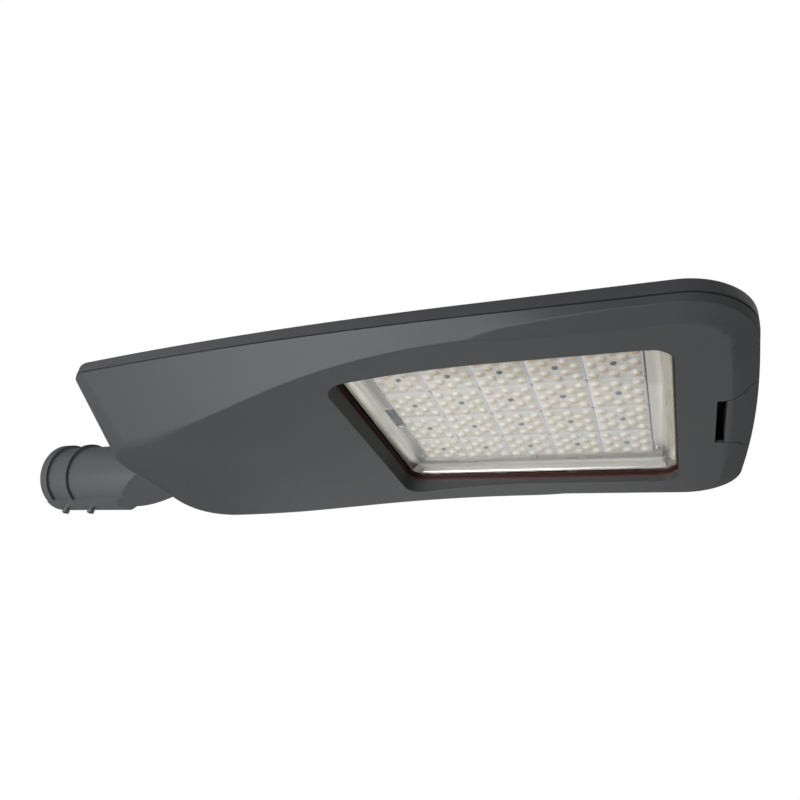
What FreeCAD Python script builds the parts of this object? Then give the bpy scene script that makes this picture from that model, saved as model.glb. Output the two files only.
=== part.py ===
import FreeCAD, Part
import math
import os

from FreeCAD import Vector

# LED street light head. Millimetres, +Z up as it hangs over the road. The origin is the
# centre of the pole socket's mouth, and +X runs along the pole arm towards the tip.

# Pole socket
pole_radius = 30.0
pole_clearance = 0.5
socket_depth = 100.0
socket_end_wall = 6.0
spigot_radius = 37.0
spigot_length = 184.0
spigot_skin = 5.0
rib_radius = 40.5
flange_width = 10.0
rib_offset = 38.5
rib_width = 3.5
pad_half_width = 14.0
pad_drop = 42.0
cut_start = 105.0
cut_angle = 33.7
cable_hole_radius = 9.0
cable_radius = 5.0
grommet_flange = 2.0
grommet_overlap = 3.0
grommet_play = 0.3
set_screw_offset = 20.5
set_screw_pitch = 40.5
set_screw_radius = 4.0
set_screw_stand = 6.0
hex_socket_radius = 2.3

# Saddle over the spigot's tail
strap_rear = 157.0
strap_front = 183.0
strap_thickness = 6.0
strap_foot_end = 61.0
strap_fit = 0.15
bolt_y = 52.0
bolt_inset = 6.5
bolt_pad_half = 9.0
cradle_rib_pitch = 20.0
cradle_rib_half = 2.5

# Outline of the body, seen from above
body_rear = 118.0
body_tip = 789.5
tip_bow = 4.5
half_width = 172.5
rear_half_width = 148.5
width_full_at = 570.0
twist_end = 680.0
tip_corner_radius = 58.0
rear_corner_radius = 32.0
rear_low_corner_radius = 52.0

# Side view of the body
seam_height = 50.0
seam_gap = 1.2
face_height = 35.3
belly_height = -14.0
belly_flat_end = 216.0
ramp_end = 475.0
belly_ease = 35.0
ramp_ease = 108.0
side_slope = 0.88
tip_side_slope = 0.12
rear_slope = 0.427
draft_depth = 70.0

# Bevel round the window face
bevel_top = 42.0
bevel_lip = 1.5
bevel_side_inset = 17.5
bevel_tip_inset = 21.0
bevel_start = 505.0
bevel_full = 600.0
bevel_overrun = 2.0

# Castings
wall = 3.2
side_wall = 4.2
rim_width = 12.0
rim_thickness = 4.0
seal_line_inset = 40.0
seal_corner_radius = 44.0
gasket_inset = 4.5
gasket_width = 4.0
gasket_depth = 1.5
gasket_clearance = 0.2
partition_gap = 8.0
partition_thickness = 4.0
wiring_hole_radius = 7.0
wiring_hole_y = 40.0
wiring_hole_drop = 14.0

# Window
window_rear = 422.5
window_front = 724.5
window_half_width = 124.0
window_corner_radius = 20.0
ledge_width = 9.5
ledge_height = 41.5
glass_gasket_thickness = 1.5
glass_gasket_lip = 1.0
glass_gasket_web = 1.0
glass_thickness = 5.0
glass_overlap = 6.0
clip_width = 12.0
clip_thickness = 1.5
clip_boss_radius = 4.2
clip_boss_gap = 0.3
clip_boss_root = 12.0
clip_positions = (450.0, 532.0, 614.0, 696.0)

# Light source
array_centre = 576.0
module = 50.0
modules_long = 5
modules_wide = 4
board_thickness = 1.6
board_gap = 0.6
chip_size = 3.0
chip_height = 0.7
plate_skin = 1.5
plate_rim = 1.2
plate_rim_width = 1.5
plate_gap = 0.3
dome_radius = 5.3
dome_top_radius = 3.2
dome_height = 3.0
dome_pitch_x = 18.2
dome_pitch_y = 17.0
plate_screw_radius = 1.4
plate_screw_play = 0.4
plate_screw_head = 2.8
heat_base_height = 62.8
heat_base_thickness = 6.0

# Reflector
reflector_thickness = 0.8
reflector_clearance = 1.0
reflector_ledge = 7.0
reflector_drop = 2.6
reflector_rim_height = 49.3
reflector_side = 20.7
reflector_rear_share = 1.15
reflector_corner = 9.0
reflector_screw_inset = 7.0
reflector_screw_head = 3.0
reflector_boss_radius = 3.3
notch_half_width = 20.0
notch_depth = 10.5
reflector_clip_half = 6.5

# Upper housing
lid_wall = 3.2
lid_side_height = 11.6
dome_rise = (3.0, 8.5, 13.0, 16.0)
dome_inset = (5.0, 22.0, 50.0, 86.0)
fin_thickness = 3.0
fin_pitch = 12.0
fin_count = 19
fin_zone_rear = 440.0
fin_zone_front = 716.0
fin_zone_half_width = 119.0

# Hinge at the rear
hinge_x = 112.0
hinge_height = 52.5
hinge_ear_radius = 5.4
hinge_pin_radius = 2.5
hinge_running = 0.05
hinge_spacing = 75.0
hinge_lid_ear = 12.0
hinge_ear = 6.0
hinge_side_gap = 0.4

# Latch at the tip
slot_inset = 33.2
slot_width = 6.9
slot_half_length = 38.5
lever_half_width = 39.5
lever_waist = 53.0
lever_waist_inset = 9.9
lever_shoulder = 14.0
lever_overhang = 5.0
lever_flare = 60.0
lever_gap = 1.0
lever_flank_share = 0.6
lever_skin = 3.6
lever_top = 49.0
latch_pin_inset = 7.0
latch_pin_height = 45.8
latch_pin_radius = 2.0
latch_running = 0.05
latch_boss = 4.2
hook_thickness = 1.0
hook_width = 24.0
hook_reach = 4.7
hook_top = 55.6
hook_seat_height = 44.0
hook_foot = 11.5
rivet_radius = 1.5
rivet_y = 7.0
catch_side = 9.0
catch_thickness = 1.3
catch_play = 0.3

# Gear compartment
tray_rear_margin = 10.0
tray_front_margin = 4.0
tray_half_width = 84.0
tray_height = 25.0
tray_thickness = 1.5
tray_lip = 8.0
tray_post_radius = 6.0
tray_post_inset = 8.0
tray_screw_length = 6.0
tray_screw_play = 0.5
driver_rear = 216.0
driver_y = -42.0
driver_length = 170.0
driver_width = 68.0
driver_height = 34.0
driver_foot = 8.0
surge_length = 62.0
surge_width = 34.0
surge_height = 26.0
terminal_pitch = 14.0
terminal_depth = 30.0
terminal_height = 20.0
gear_y = 16.0
surge_rear = 226.0
terminal_rear = 306.0
cable_clamp_x = 328.0
cable_clamp_y = 68.0
cable_clamp_span = 24.0
cable_clamp_height = 9.0

# Fasteners
screw_radius = 2.0
screw_head_radius = 3.8
screw_head_height = 2.4
screw_clearance = 0.3
bolt_radius = 4.0
bolt_head_across = 13.0
bolt_head_height = 5.3

axis_x = Vector(1, 0, 0)
axis_y = Vector(0, 1, 0)
axis_z = Vector(0, 0, 1)
middle = Vector(0, 0, 0)
bore_radius = pole_radius + pole_clearance
seal_line_front = body_tip - seal_line_inset
slot_rear = body_tip - slot_inset
lever_waist_x = body_tip - lever_waist_inset
latch_pin_x = body_tip - latch_pin_inset
tray_rear = driver_rear - tray_rear_margin
tray_front = driver_rear + driver_length + tray_front_margin
partition_x = tray_front + partition_gap
clip_length = ledge_width + clip_boss_gap + 2.0 * clip_boss_radius
lid_base = seam_height + seam_gap
strip_top = lid_base + lid_side_height
glass_base = ledge_height + glass_gasket_thickness
glass_top = glass_base + glass_thickness
clip_seat = glass_top + glass_gasket_lip
board_base = heat_base_height - board_thickness
plate_base = board_base - plate_rim - plate_skin
array_rear = array_centre - module * modules_long / 2.0
array_front = array_centre + module * modules_long / 2.0
array_half_width = module * modules_wide / 2.0
ledge_top = heat_base_height - reflector_drop
ledge_underside = ledge_top - reflector_thickness
tray_top = tray_height + tray_thickness
latch_pin_half = lever_waist + 10.0
catch_back = body_tip - lid_wall - 0.25
catch_screw_height = lid_base + 6.5
leaf_x = latch_pin_x - latch_pin_radius - 0.5 - hook_thickness


def box(x0, x1, y0, y1, z0, z1):
    """Block between two opposite corners."""
    return Part.makeBox(x1 - x0, y1 - y0, z1 - z0, Vector(x0, y0, z0))


def rod(radius, x, y, z, length, direction=axis_z):
    """Round bar that starts at a point."""
    return Part.makeCylinder(radius, length, Vector(x, y, z), direction)


def hex_bar(radius, x, y, z, height, sides=6):
    """Upright bar with flat sides, given by the radius of its corners."""
    step = 2.0 * math.pi / sides
    angles = [step * i for i in range(sides)]
    points = [Vector(x + radius * math.cos(a), y + radius * math.sin(a), z) for a in angles]
    return Part.Face(Part.makePolygon(points + points[:1])).extrude(Vector(0, 0, height))


def frustum(low_radius, high_radius, x, y, z, height, sides=8):
    """Upright pyramid with flat sides and a flat top, given by the radii of its corners."""
    step = 2.0 * math.pi / sides
    rings = []
    for radius, level in ((low_radius, z), (high_radius, z + height)):
        ring = []
        for i in range(sides):
            angle = step * (i + 0.5)
            ring.append(Vector(x + radius * math.cos(angle), y + radius * math.sin(angle), level))
        rings.append(ring)
    low, high = rings
    faces = [Part.Face(Part.makePolygon(ring + ring[:1])) for ring in rings]
    for i in range(sides):
        j = (i + 1) % sides
        faces.append(Part.Face(Part.makePolygon([low[i], low[j], high[j], high[i], low[i]])))
    return Part.makeSolid(Part.makeShell(faces))


def fuse(first, *others):
    """Join solids into one."""
    return first.fuse(list(others)).removeSplitter()


def mirrored(shape):
    """Mirror image across the middle plane."""
    return shape.mirror(middle, axis_y)


def both_sides(shape):
    """A shape and its mirror image."""
    return [shape, mirrored(shape)]


def rounded_block(x0, x1, half_y, radius, z0, z1):
    """Flat block with four round corners."""
    block = box(x0, x1, -half_y, half_y, z0, z1)
    corners = [e for e in block.Edges if abs(e.tangentAt(e.FirstParameter).z) > 0.9]
    return block.makeFillet(radius, corners)


def side_width(x):
    """Half width of the body at the seam: it swells in a curve, then runs straight."""
    t = min(max((x - body_rear) / (width_full_at - body_rear), 0.0), 1.0)
    return half_width - (half_width - rear_half_width) * (1.0 - t) ** 2


def body_outline(z, inset, tip_inset=None, rear_inset=None, tip_side_inset=None,
                 tip_radius=None, rear_radius=None, tip=body_tip, bow=tip_bow):
    """Closed outline of the body in plan, drawn in from the full outline at the seam."""
    tip_inset = inset if tip_inset is None else tip_inset
    rear_inset = inset if rear_inset is None else rear_inset
    tip_side_inset = inset if tip_side_inset is None else tip_side_inset
    tip_radius = max(tip_corner_radius - inset, 14.0) if tip_radius is None else tip_radius
    rear_radius = max(rear_corner_radius - inset, 10.0) if rear_radius is None else rear_radius
    x_rear = body_rear + rear_inset
    x_tip = tip - tip_inset
    x_corner = x_tip - bow - tip_radius
    x_side = x_rear + rear_radius
    y_side = side_width(x_side) - inset
    x_mid = (x_side + width_full_at) / 2.0
    y_mid = side_width(x_mid) - inset
    y_full = half_width - inset
    y_tip = half_width - tip_side_inset
    x_twist = min(twist_end, x_corner - 5.0)
    diagonal = math.sqrt(0.5)
    p = [
        Vector(x_rear, y_side - rear_radius, z),
        Vector(x_side - rear_radius * diagonal, y_side - rear_radius * (1.0 - diagonal), z),
        Vector(x_side, y_side, z),
        Vector(x_mid, y_mid, z),
        Vector(width_full_at, y_full, z),
        Vector(x_twist, y_tip, z),
        Vector(x_corner, y_tip, z),
        Vector(x_corner + tip_radius * diagonal, y_tip - tip_radius * (1.0 - diagonal), z),
        Vector(x_corner + tip_radius, y_tip - tip_radius, z),
        Vector(x_tip, 0, z),
    ]
    q = [Vector(v.x, -v.y, v.z) for v in p]
    edges = [
        Part.Arc(p[0], p[1], p[2]).toShape(),
        Part.Arc(p[2], p[3], p[4]).toShape(),
        Part.LineSegment(p[4], p[5]).toShape(),
        Part.LineSegment(p[5], p[6]).toShape(),
        Part.Arc(p[6], p[7], p[8]).toShape(),
        Part.Arc(p[8], p[9], q[8]).toShape(),
        Part.Arc(q[8], q[7], q[6]).toShape(),
        Part.LineSegment(q[6], q[5]).toShape(),
        Part.LineSegment(q[5], q[4]).toShape(),
        Part.Arc(q[4], q[3], q[2]).toShape(),
        Part.Arc(q[2], q[1], q[0]).toShape(),
        Part.LineSegment(q[0], p[0]).toShape(),
    ]
    return Part.Wire(edges)


def outline_block(z0, z1, inset, **options):
    """Upright block that fills the body's outline, drawn in by an inset."""
    return Part.Face(body_outline(z0, inset, **options)).extrude(Vector(0, 0, z1 - z0))


def sealed_block(z0, z1, inset):
    """Upright block inside the seal line, which crosses the body behind the latch."""
    end = seal_line_front + gasket_inset - inset
    return outline_block(z0, z1, inset, tip=end, tip_inset=0.0, bow=0.5, tip_radius=seal_corner_radius - inset)


def side_profile(lift):
    """Everything above the underside, whose flat belly runs up a ramp to the window face."""
    rear = body_rear - 60.0
    front = body_tip + 60.0
    roof = seam_height + 60.0
    z0 = belly_height + lift
    z1 = face_height + lift
    slope = math.atan2(z1 - z0, ramp_end - belly_flat_end)
    run = math.cos(slope)
    rise = math.sin(slope)
    a0 = Vector(belly_flat_end - belly_ease, 0, z0)
    a2 = Vector(belly_flat_end + belly_ease * run, 0, z0 + belly_ease * rise)
    b0 = Vector(ramp_end - ramp_ease * run, 0, z1 - ramp_ease * rise)
    b2 = Vector(ramp_end + ramp_ease, 0, z1)
    belly_radius = belly_ease / math.tan(slope / 2.0)
    ramp_radius = ramp_ease / math.tan(slope / 2.0)
    sine = math.sin(slope / 2.0)
    sag = 1.0 - math.cos(slope / 2.0)
    a1 = Vector(a0.x + belly_radius * sine, 0, z0 + belly_radius * sag)
    b1 = Vector(b2.x - ramp_radius * sine, 0, z1 - ramp_radius * sag)
    corners = [Vector(rear, 0, roof), Vector(rear, 0, z0), Vector(front, 0, z1), Vector(front, 0, roof)]
    edges = [
        Part.LineSegment(corners[0], corners[1]).toShape(),
        Part.LineSegment(corners[1], a0).toShape(),
        Part.Arc(a0, a1, a2).toShape(),
        Part.LineSegment(a2, b0).toShape(),
        Part.Arc(b0, b1, b2).toShape(),
        Part.LineSegment(b2, corners[2]).toShape(),
        Part.LineSegment(corners[2], corners[3]).toShape(),
        Part.LineSegment(corners[3], corners[0]).toShape(),
    ]
    face = Part.Face(Part.Wire(edges))
    face.translate(Vector(0, -half_width - 40.0, 0))
    return face.extrude(Vector(0, 2.0 * half_width + 80.0, 0))


def bevel_waste():
    """What the bevel round the window face takes off the tip and, fading out, off the sides."""
    rise = bevel_top - face_height
    side_run = (bevel_side_inset - bevel_lip) / rise
    tip_run = (bevel_tip_inset - bevel_lip) / rise
    z0 = face_height - bevel_overrun
    z1 = bevel_top + bevel_overrun
    low_side = bevel_side_inset + side_run * bevel_overrun
    high_side = bevel_lip - side_run * bevel_overrun
    low_tip = bevel_tip_inset + tip_run * bevel_overrun
    high_tip = bevel_lip - tip_run * bevel_overrun
    floor = z0 - 15.0
    lower = body_outline(z0, low_side, tip_inset=low_tip, tip_radius=tip_corner_radius - low_tip)
    upper = body_outline(z1, high_side, tip_inset=high_tip, tip_radius=tip_corner_radius - high_tip)
    keep = Part.makeLoft([lower, upper], True, True)
    reach = half_width + 20.0
    core = outline_block(floor, z0 + 0.01, low_side, tip_inset=low_tip, tip_radius=tip_corner_radius - low_tip)
    tip = box(bevel_full, body_tip + 20.0, -reach, reach, floor, z1).cut(keep).cut(core)
    corner_y = half_width - high_side
    start_y = side_width(bevel_start)
    start_low = start_y - side_slope * (seam_height - floor)
    start_high = start_y - side_slope * (seam_height - z1)
    first = [(start_low, floor), (start_high, z1), (corner_y, floor)]
    second = [(half_width - low_side, z0), (corner_y, z1), (corner_y, floor)]
    sections = []
    for x, points in ((bevel_start, first), (bevel_full, second)):
        ring = [Vector(x, y, z) for y, z in points]
        sections.append(Part.makePolygon(ring + ring[:1]))
    side = Part.makeLoft(sections, True, True)
    return [tip] + both_sides(side)


def hull_form(lift, shrink):
    """Outer form of the lower housing, or its hollow when lifted and shrunk by the walls."""
    drop = draft_depth
    tip_draft = tip_side_slope * drop + shrink
    upper = body_outline(seam_height, shrink)
    lower = body_outline(seam_height - drop, side_slope * drop + shrink, tip_inset=tip_draft,
                         tip_side_inset=tip_draft, rear_inset=rear_slope * drop + shrink,
                         tip_radius=tip_corner_radius - shrink, rear_radius=rear_low_corner_radius - shrink)
    form = Part.makeLoft([lower, upper], True, True).common(side_profile(lift))
    for waste in bevel_waste():
        waste.translate(Vector(0, 0, lift * 1.15))
        form = form.cut(waste)
    return form


def below_cut(offset):
    """Everything under the oblique cut across the spigot, shifted along its normal."""
    angle = math.radians(cut_angle)
    start = Vector(cut_start - offset * math.sin(angle), 0, -pad_drop + offset * math.cos(angle))
    reach = 300.0
    back = start - Vector(math.cos(angle), 0, math.sin(angle)) * reach
    front = start + Vector(math.cos(angle), 0, math.sin(angle)) * reach
    under = Vector(math.sin(angle), 0, -math.cos(angle)) * reach
    points = [back, front, front + under, back + under]
    for point in points:
        point.y = -reach
    return Part.Face(Part.makePolygon(points + points[:1])).extrude(Vector(0, 2.0 * reach, 0))


def set_screw_places():
    return [set_screw_offset + i * set_screw_pitch for i in range(2)]


def pole_spigot():
    """Cast socket for the pole end: flange, stiffening rib, screw pad and oblique tail."""
    body = fuse(
        rod(spigot_radius, 0, 0, 0, spigot_length, axis_x),
        rod(rib_radius, 0, 0, 0, flange_width, axis_x),
        rod(rib_radius, rib_offset, 0, 0, rib_width, axis_x),
        box(0, cut_start, -pad_half_width, pad_half_width, -pad_drop, -bore_radius),
    )
    body = body.cut(below_cut(0.0))
    tail_start = socket_depth + socket_end_wall
    tail = rod(spigot_radius - spigot_skin, tail_start, 0, 0, spigot_length, axis_x).cut(below_cut(spigot_skin))
    body = body.cut(rod(bore_radius, -1.0, 0, 0, socket_depth + 1.0, axis_x)).cut(tail)
    body = body.cut(rod(cable_hole_radius, socket_depth - 1.0, 0, 0, socket_end_wall + 2.0, axis_x))
    recess = cable_hole_radius + grommet_overlap + grommet_play
    body = body.cut(rod(recess, socket_depth - 1.0, 0, 0, grommet_flange + 1.0, axis_x))
    for x in set_screw_places():
        body = body.cut(rod(set_screw_radius, x, 0, -pad_drop - 1.0, pad_drop, axis_z))
    return body


def spigot_set_screws():
    """Two socket set screws that bear on the pole."""
    screws = []
    top = -bore_radius
    low = -pad_drop - set_screw_stand
    for x in set_screw_places():
        screw = rod(set_screw_radius, x, 0, low, top - low)
        screws.append(screw.cut(hex_bar(hex_socket_radius, x, 0, low - 1.0, 5.0)))
    return Part.makeCompound(screws)


def clamp_bolt_places():
    return [(x, y) for x in (strap_rear + bolt_inset, strap_front - bolt_inset) for y in (-bolt_y, bolt_y)]


def spigot_clamp():
    """Saddle that holds the spigot's tail down in the lower housing."""
    inner = spigot_radius + strap_fit
    outer = inner + strap_thickness
    width = strap_front - strap_rear
    upper_half = box(strap_rear, strap_front, -outer, outer, 0, outer)
    saddle = rod(outer, strap_rear, 0, 0, width, axis_x).common(upper_half)
    feet = box(strap_rear, strap_front, -strap_foot_end, strap_foot_end, 0, strap_thickness)
    clamp = fuse(saddle, feet).cut(rod(inner, strap_rear - 1.0, 0, 0, width + 2.0, axis_x))
    for x, y in clamp_bolt_places():
        clamp = clamp.cut(rod(bolt_radius + screw_clearance, x, y, -1.0, strap_thickness + 2.0))
    return clamp


def spigot_clamp_bolts():
    """Four hexagon bolts through the saddle into the lower housing."""
    bolts = []
    corner = bolt_head_across / math.sqrt(3.0)
    for x, y in clamp_bolt_places():
        head = hex_bar(corner, x, y, strap_thickness, bolt_head_height)
        shank = rod(bolt_radius, x, y, -8.0, strap_thickness + 8.0)
        bolts.append(fuse(head, shank))
    return Part.makeCompound(bolts)


def cable_grommet():
    """Rubber grommet in the socket's end wall, its pole side flange sunk flush."""
    x = socket_depth
    flange = grommet_flange
    body = rod(cable_hole_radius, x, 0, 0, socket_end_wall, axis_x)
    ring = rod(cable_hole_radius + grommet_overlap, x, 0, 0, flange, axis_x)
    collar = rod(cable_hole_radius + grommet_overlap, x + socket_end_wall, 0, 0, flange, axis_x)
    return fuse(body, ring, collar).cut(rod(cable_radius, x - 5.0, 0, 0, socket_end_wall + 10.0, axis_x))


def lever_plan(gap, z0, z1):
    """Block over the latch lever's plan shape, drawn in all round by a gap."""
    x0 = slot_rear + slot_width + gap
    half = lever_half_width - gap
    waist = lever_waist - gap
    flare = lever_flare - gap
    x_waist = lever_waist_x + gap * lever_flank_share
    x_end = body_tip + lever_overhang
    start = Vector(x_waist - lever_shoulder, half, z0)
    mid = Vector(x_waist - lever_shoulder * 0.29, half + (waist - half) * 0.42, z0)
    stop = Vector(x_waist, waist, z0)
    tail = Vector(x_end, flare, z0)
    m = [Vector(v.x, -v.y, z0) for v in (start, mid, stop, tail)]
    edges = [
        Part.LineSegment(Vector(x0, half, z0), start).toShape(),
        Part.Arc(start, mid, stop).toShape(),
        Part.LineSegment(stop, tail).toShape(),
        Part.LineSegment(tail, m[3]).toShape(),
        Part.LineSegment(m[3], m[2]).toShape(),
        Part.Arc(m[2], m[1], m[0]).toShape(),
        Part.LineSegment(m[0], Vector(x0, -half, z0)).toShape(),
        Part.LineSegment(Vector(x0, -half, z0), Vector(x0, half, z0)).toShape(),
    ]
    return Part.Face(Part.Wire(edges)).extrude(Vector(0, 0, z1 - z0))


def tray_post_places():
    inset = tray_post_inset
    xs = (tray_rear + inset, tray_front - inset)
    return [(x, y) for x in xs for y in (-tray_half_width + inset, tray_half_width - inset)]


def clip_places():
    y = window_half_width + ledge_width + clip_boss_gap + clip_boss_radius
    return [(x, side * y) for x in clip_positions for side in (-1.0, 1.0)]


def hull_ears():
    """Hinge ears on the rear wall, each with a foot that reaches into the rim."""
    ears = []
    for side in (-1.0, 1.0):
        for inner in (-1.0, 1.0):
            centre = side * hinge_spacing + inner * (hinge_lid_ear + hinge_ear + 2.0 * hinge_side_gap) / 2.0
            y0 = centre - hinge_ear / 2.0
            disc = rod(hinge_ear_radius, hinge_x, y0, hinge_height, hinge_ear, axis_y)
            foot = box(hinge_x - 1.0, body_rear + 6.0, y0, y0 + hinge_ear, seam_height - 7.0, seam_height)
            ears.append(fuse(disc, foot))
    return ears


def lower_housing():
    """Die-cast lower housing: hull, window ledge, rim with seal groove, bosses and ears."""
    form = hull_form(0.0, 0.0)
    hollow = hull_form(wall, side_wall)
    rim_base = seam_height - rim_thickness
    low = belly_height - 5.0
    reach = half_width + 10.0
    chamber = hollow.common(sealed_block(low, rim_base, 2.0 * gasket_inset))
    mouth = sealed_block(rim_base - 1.0, seam_height + 1.0, rim_width)
    latch_bay = hollow.cut(sealed_block(low, seam_height + 5.0, gasket_inset - 2.5))
    latch_bay = latch_bay.common(box(seal_line_front - 10.0, body_tip, -reach, reach, 0, seam_height))
    ledge = rounded_block(window_rear - ledge_width, window_front + ledge_width, window_half_width + ledge_width,
                          window_corner_radius + ledge_width, 0.0, ledge_height)
    partition = box(partition_x, partition_x + partition_thickness, -reach, reach, belly_height, rim_base)
    additions = [ledge, partition]
    for x, y in clip_places():
        root = face_height - clip_boss_root
        additions.append(rod(clip_boss_radius, x, y, root, clip_seat - root))
    for x, y in tray_post_places():
        additions.append(rod(tray_post_radius, x, y, belly_height, tray_height - belly_height))
    for side in (-1.0, 1.0):
        low_y = side * bolt_y - bolt_pad_half
        additions.append(box(strap_rear, strap_front, low_y, low_y + 2.0 * bolt_pad_half, belly_height, 0.0))
    for i in (-1, 0, 1):
        low_y = i * cradle_rib_pitch - cradle_rib_half
        high_y = low_y + 2.0 * cradle_rib_half
        additions.append(box(strap_rear - 6.0, strap_front, low_y, high_y, belly_height, 15.0))
    additions = [piece.common(form) for piece in additions]
    boss_x = latch_pin_x - latch_boss
    for side in (-1.0, 1.0):
        y0, y1 = sorted((side * (lever_waist - 2.0), side * (lever_waist + 12.0)))
        boss = box(boss_x, body_tip - 2.0, y0, y1, latch_pin_height - latch_boss, seam_height)
        additions.append(boss.common(form))
    hull = form.cut([chamber, mouth, latch_bay]).fuse(additions + hull_ears())
    slot = box(slot_rear, slot_rear + slot_width + 0.5, -slot_half_length, slot_half_length, 0, seam_height - 5.0)
    window = rounded_block(window_rear, window_front, window_half_width, window_corner_radius,
                           0.0, ledge_height + 1.0)
    groove_end = gasket_inset + gasket_width + 0.4
    groove = sealed_block(seam_height - gasket_depth, seam_height + 1.0, gasket_inset)
    groove = groove.cut(sealed_block(seam_height - gasket_depth - 1.0, seam_height + 2.0, groove_end))
    tail_length = spigot_length - socket_depth + 2.0
    tail = rod(spigot_radius + strap_fit, socket_depth, 0, 0, tail_length, axis_x).cut(below_cut(-strap_fit))
    wiring_z = seam_height - wiring_hole_drop
    cutters = [lever_plan(0.0, 0.0, seam_height + 5.0), slot, window, groove, tail]
    cutters.append(rod(wiring_hole_radius, partition_x - 5.0, wiring_hole_y, wiring_z, 15.0, axis_x))
    for side in (-1.0, 1.0):
        cutters.append(rod(hinge_pin_radius, hinge_x, side * hinge_spacing - 20.0, hinge_height, 40.0, axis_y))
    pin_length = 2.0 * latch_pin_half
    cutters.append(rod(latch_pin_radius, latch_pin_x, -latch_pin_half, latch_pin_height, pin_length, axis_y))
    for x, y in clamp_bolt_places():
        cutters.append(rod(bolt_radius, x, y, -8.0, 9.0))
    for x, y in clip_places():
        cutters.append(rod(screw_radius, x, y, clip_seat - 7.0, 8.0))
    bore = tray_screw_length - tray_thickness + tray_screw_play
    for x, y in tray_post_places():
        cutters.append(rod(screw_radius, x, y, tray_height - bore, bore + 1.0))
    return hull.cut(cutters).removeSplitter()


def hinge_pins():
    """Two steel pins, pressed into the outer ears."""
    span = hinge_lid_ear + 2.0 * (hinge_ear + hinge_side_gap)
    return Part.makeCompound([rod(hinge_pin_radius, hinge_x, side * hinge_spacing - span / 2.0, hinge_height,
                                  span, axis_y) for side in (-1.0, 1.0)])


def latch_pin():
    """Steel pin that the latch lever turns on, pressed into the lower housing."""
    return rod(latch_pin_radius, latch_pin_x, -latch_pin_half, latch_pin_height, 2.0 * latch_pin_half, axis_y)


def housing_gasket():
    """Silicone cord in the groove of the lower housing's rim."""
    z0 = seam_height - gasket_depth
    z1 = lid_base - gasket_clearance
    inset = gasket_inset + 0.2
    return sealed_block(z0, z1, inset).cut(sealed_block(z0 - 1.0, z1 + 1.0, inset + gasket_width))


def window_glass():
    """Tempered flat glass."""
    o = glass_overlap
    return rounded_block(window_rear - o, window_front + o, window_half_width + o, window_corner_radius + o,
                         glass_base, glass_top)


def glass_gasket():
    """Red-brown silicone channel that wraps the edge of the glass and lies on the ledge."""
    o = glass_overlap + glass_gasket_web
    outer = rounded_block(window_rear - o, window_front + o, window_half_width + o, window_corner_radius + o,
                          ledge_height, clip_seat)
    opening = rounded_block(window_rear, window_front, window_half_width, window_corner_radius,
                            ledge_height - 1.0, clip_seat + 1.0)
    return outer.cut([opening, window_glass()])


def glass_clips():
    """Sheet clips that hold the gasket and its glass down on the ledge."""
    clips = []
    for x, y in clip_places():
        side = math.copysign(1.0, y)
        y0, y1 = sorted((side * window_half_width, side * (window_half_width + clip_length)))
        plate = box(x - clip_width / 2.0, x + clip_width / 2.0, y0, y1, clip_seat, clip_seat + clip_thickness)
        clips.append(plate.cut(rod(screw_radius + screw_clearance, x, y, clip_seat - 1.0, clip_thickness + 2.0)))
    return Part.makeCompound(clips)


def pan_screw(x, y, seat, length, up=True, head_radius=screw_head_radius):
    """Pan head screw whose head sits on a seat and whose shank goes the other way."""
    sense = 1.0 if up else -1.0
    head = rod(head_radius, x, y, min(seat, seat + sense * screw_head_height), screw_head_height)
    shank = rod(screw_radius, x, y, min(seat, seat - sense * length), length)
    return fuse(head, shank)


def glass_clip_screws():
    seat = clip_seat + clip_thickness
    return Part.makeCompound([pan_screw(x, y, seat, 8.0) for x, y in clip_places()])


def driver_screw_places():
    inset = driver_foot / 2.0
    return [(driver_rear + inset, driver_y), (driver_rear + driver_length - inset, driver_y)]


def clamp_screw_places():
    half = cable_clamp_span / 2.0
    return [(cable_clamp_x - half, cable_clamp_y), (cable_clamp_x + half, cable_clamp_y)]


def gear_tray():
    """Folded steel tray that carries the electrical gear."""
    t = tray_thickness
    half = tray_half_width
    plate = box(tray_rear, tray_front, -half, half, tray_height, tray_top)
    lip = box(tray_rear, tray_front, half - t, half, tray_height, tray_top + tray_lip)
    tray = fuse(plate, *both_sides(lip))
    for x, y in tray_post_places():
        tray = tray.cut(rod(screw_radius + screw_clearance, x, y, tray_height - 1.0, t + 2.0))
    for x, y in driver_screw_places() + clamp_screw_places():
        tray = tray.cut(rod(screw_radius, x, y, tray_height - 1.0, t + 2.0))
    return tray


def tray_screws():
    return Part.makeCompound([pan_screw(x, y, tray_top, tray_screw_length) for x, y in tray_post_places()])


def led_driver():
    """Constant current driver in a closed case with a foot at each end."""
    half = driver_width / 2.0
    case = box(driver_rear + driver_foot, driver_rear + driver_length - driver_foot,
               driver_y - half, driver_y + half, tray_top, tray_top + driver_height)
    top_edges = [e for e in case.Edges if abs(e.BoundBox.ZMin - tray_top - driver_height) < 0.01]
    case = case.makeChamfer(2.0, top_edges)
    foot = box(driver_rear, driver_rear + driver_length, driver_y - half / 2.0, driver_y + half / 2.0,
               tray_top, tray_top + 2.5)
    driver = fuse(case, foot)
    for x, y in driver_screw_places():
        driver = driver.cut(rod(screw_radius + screw_clearance, x, y, tray_top - 1.0, 5.0))
    return driver


def driver_screws():
    return Part.makeCompound([pan_screw(x, y, tray_top + 2.5, 4.0) for x, y in driver_screw_places()])


def surge_protector():
    """Potted surge protection module."""
    block = box(surge_rear, surge_rear + surge_length, gear_y, gear_y + surge_width,
                tray_top, tray_top + surge_height)
    upright = [e for e in block.Edges if abs(e.tangentAt(e.FirstParameter).z) > 0.9]
    return block.makeFillet(4.0, upright)


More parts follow.
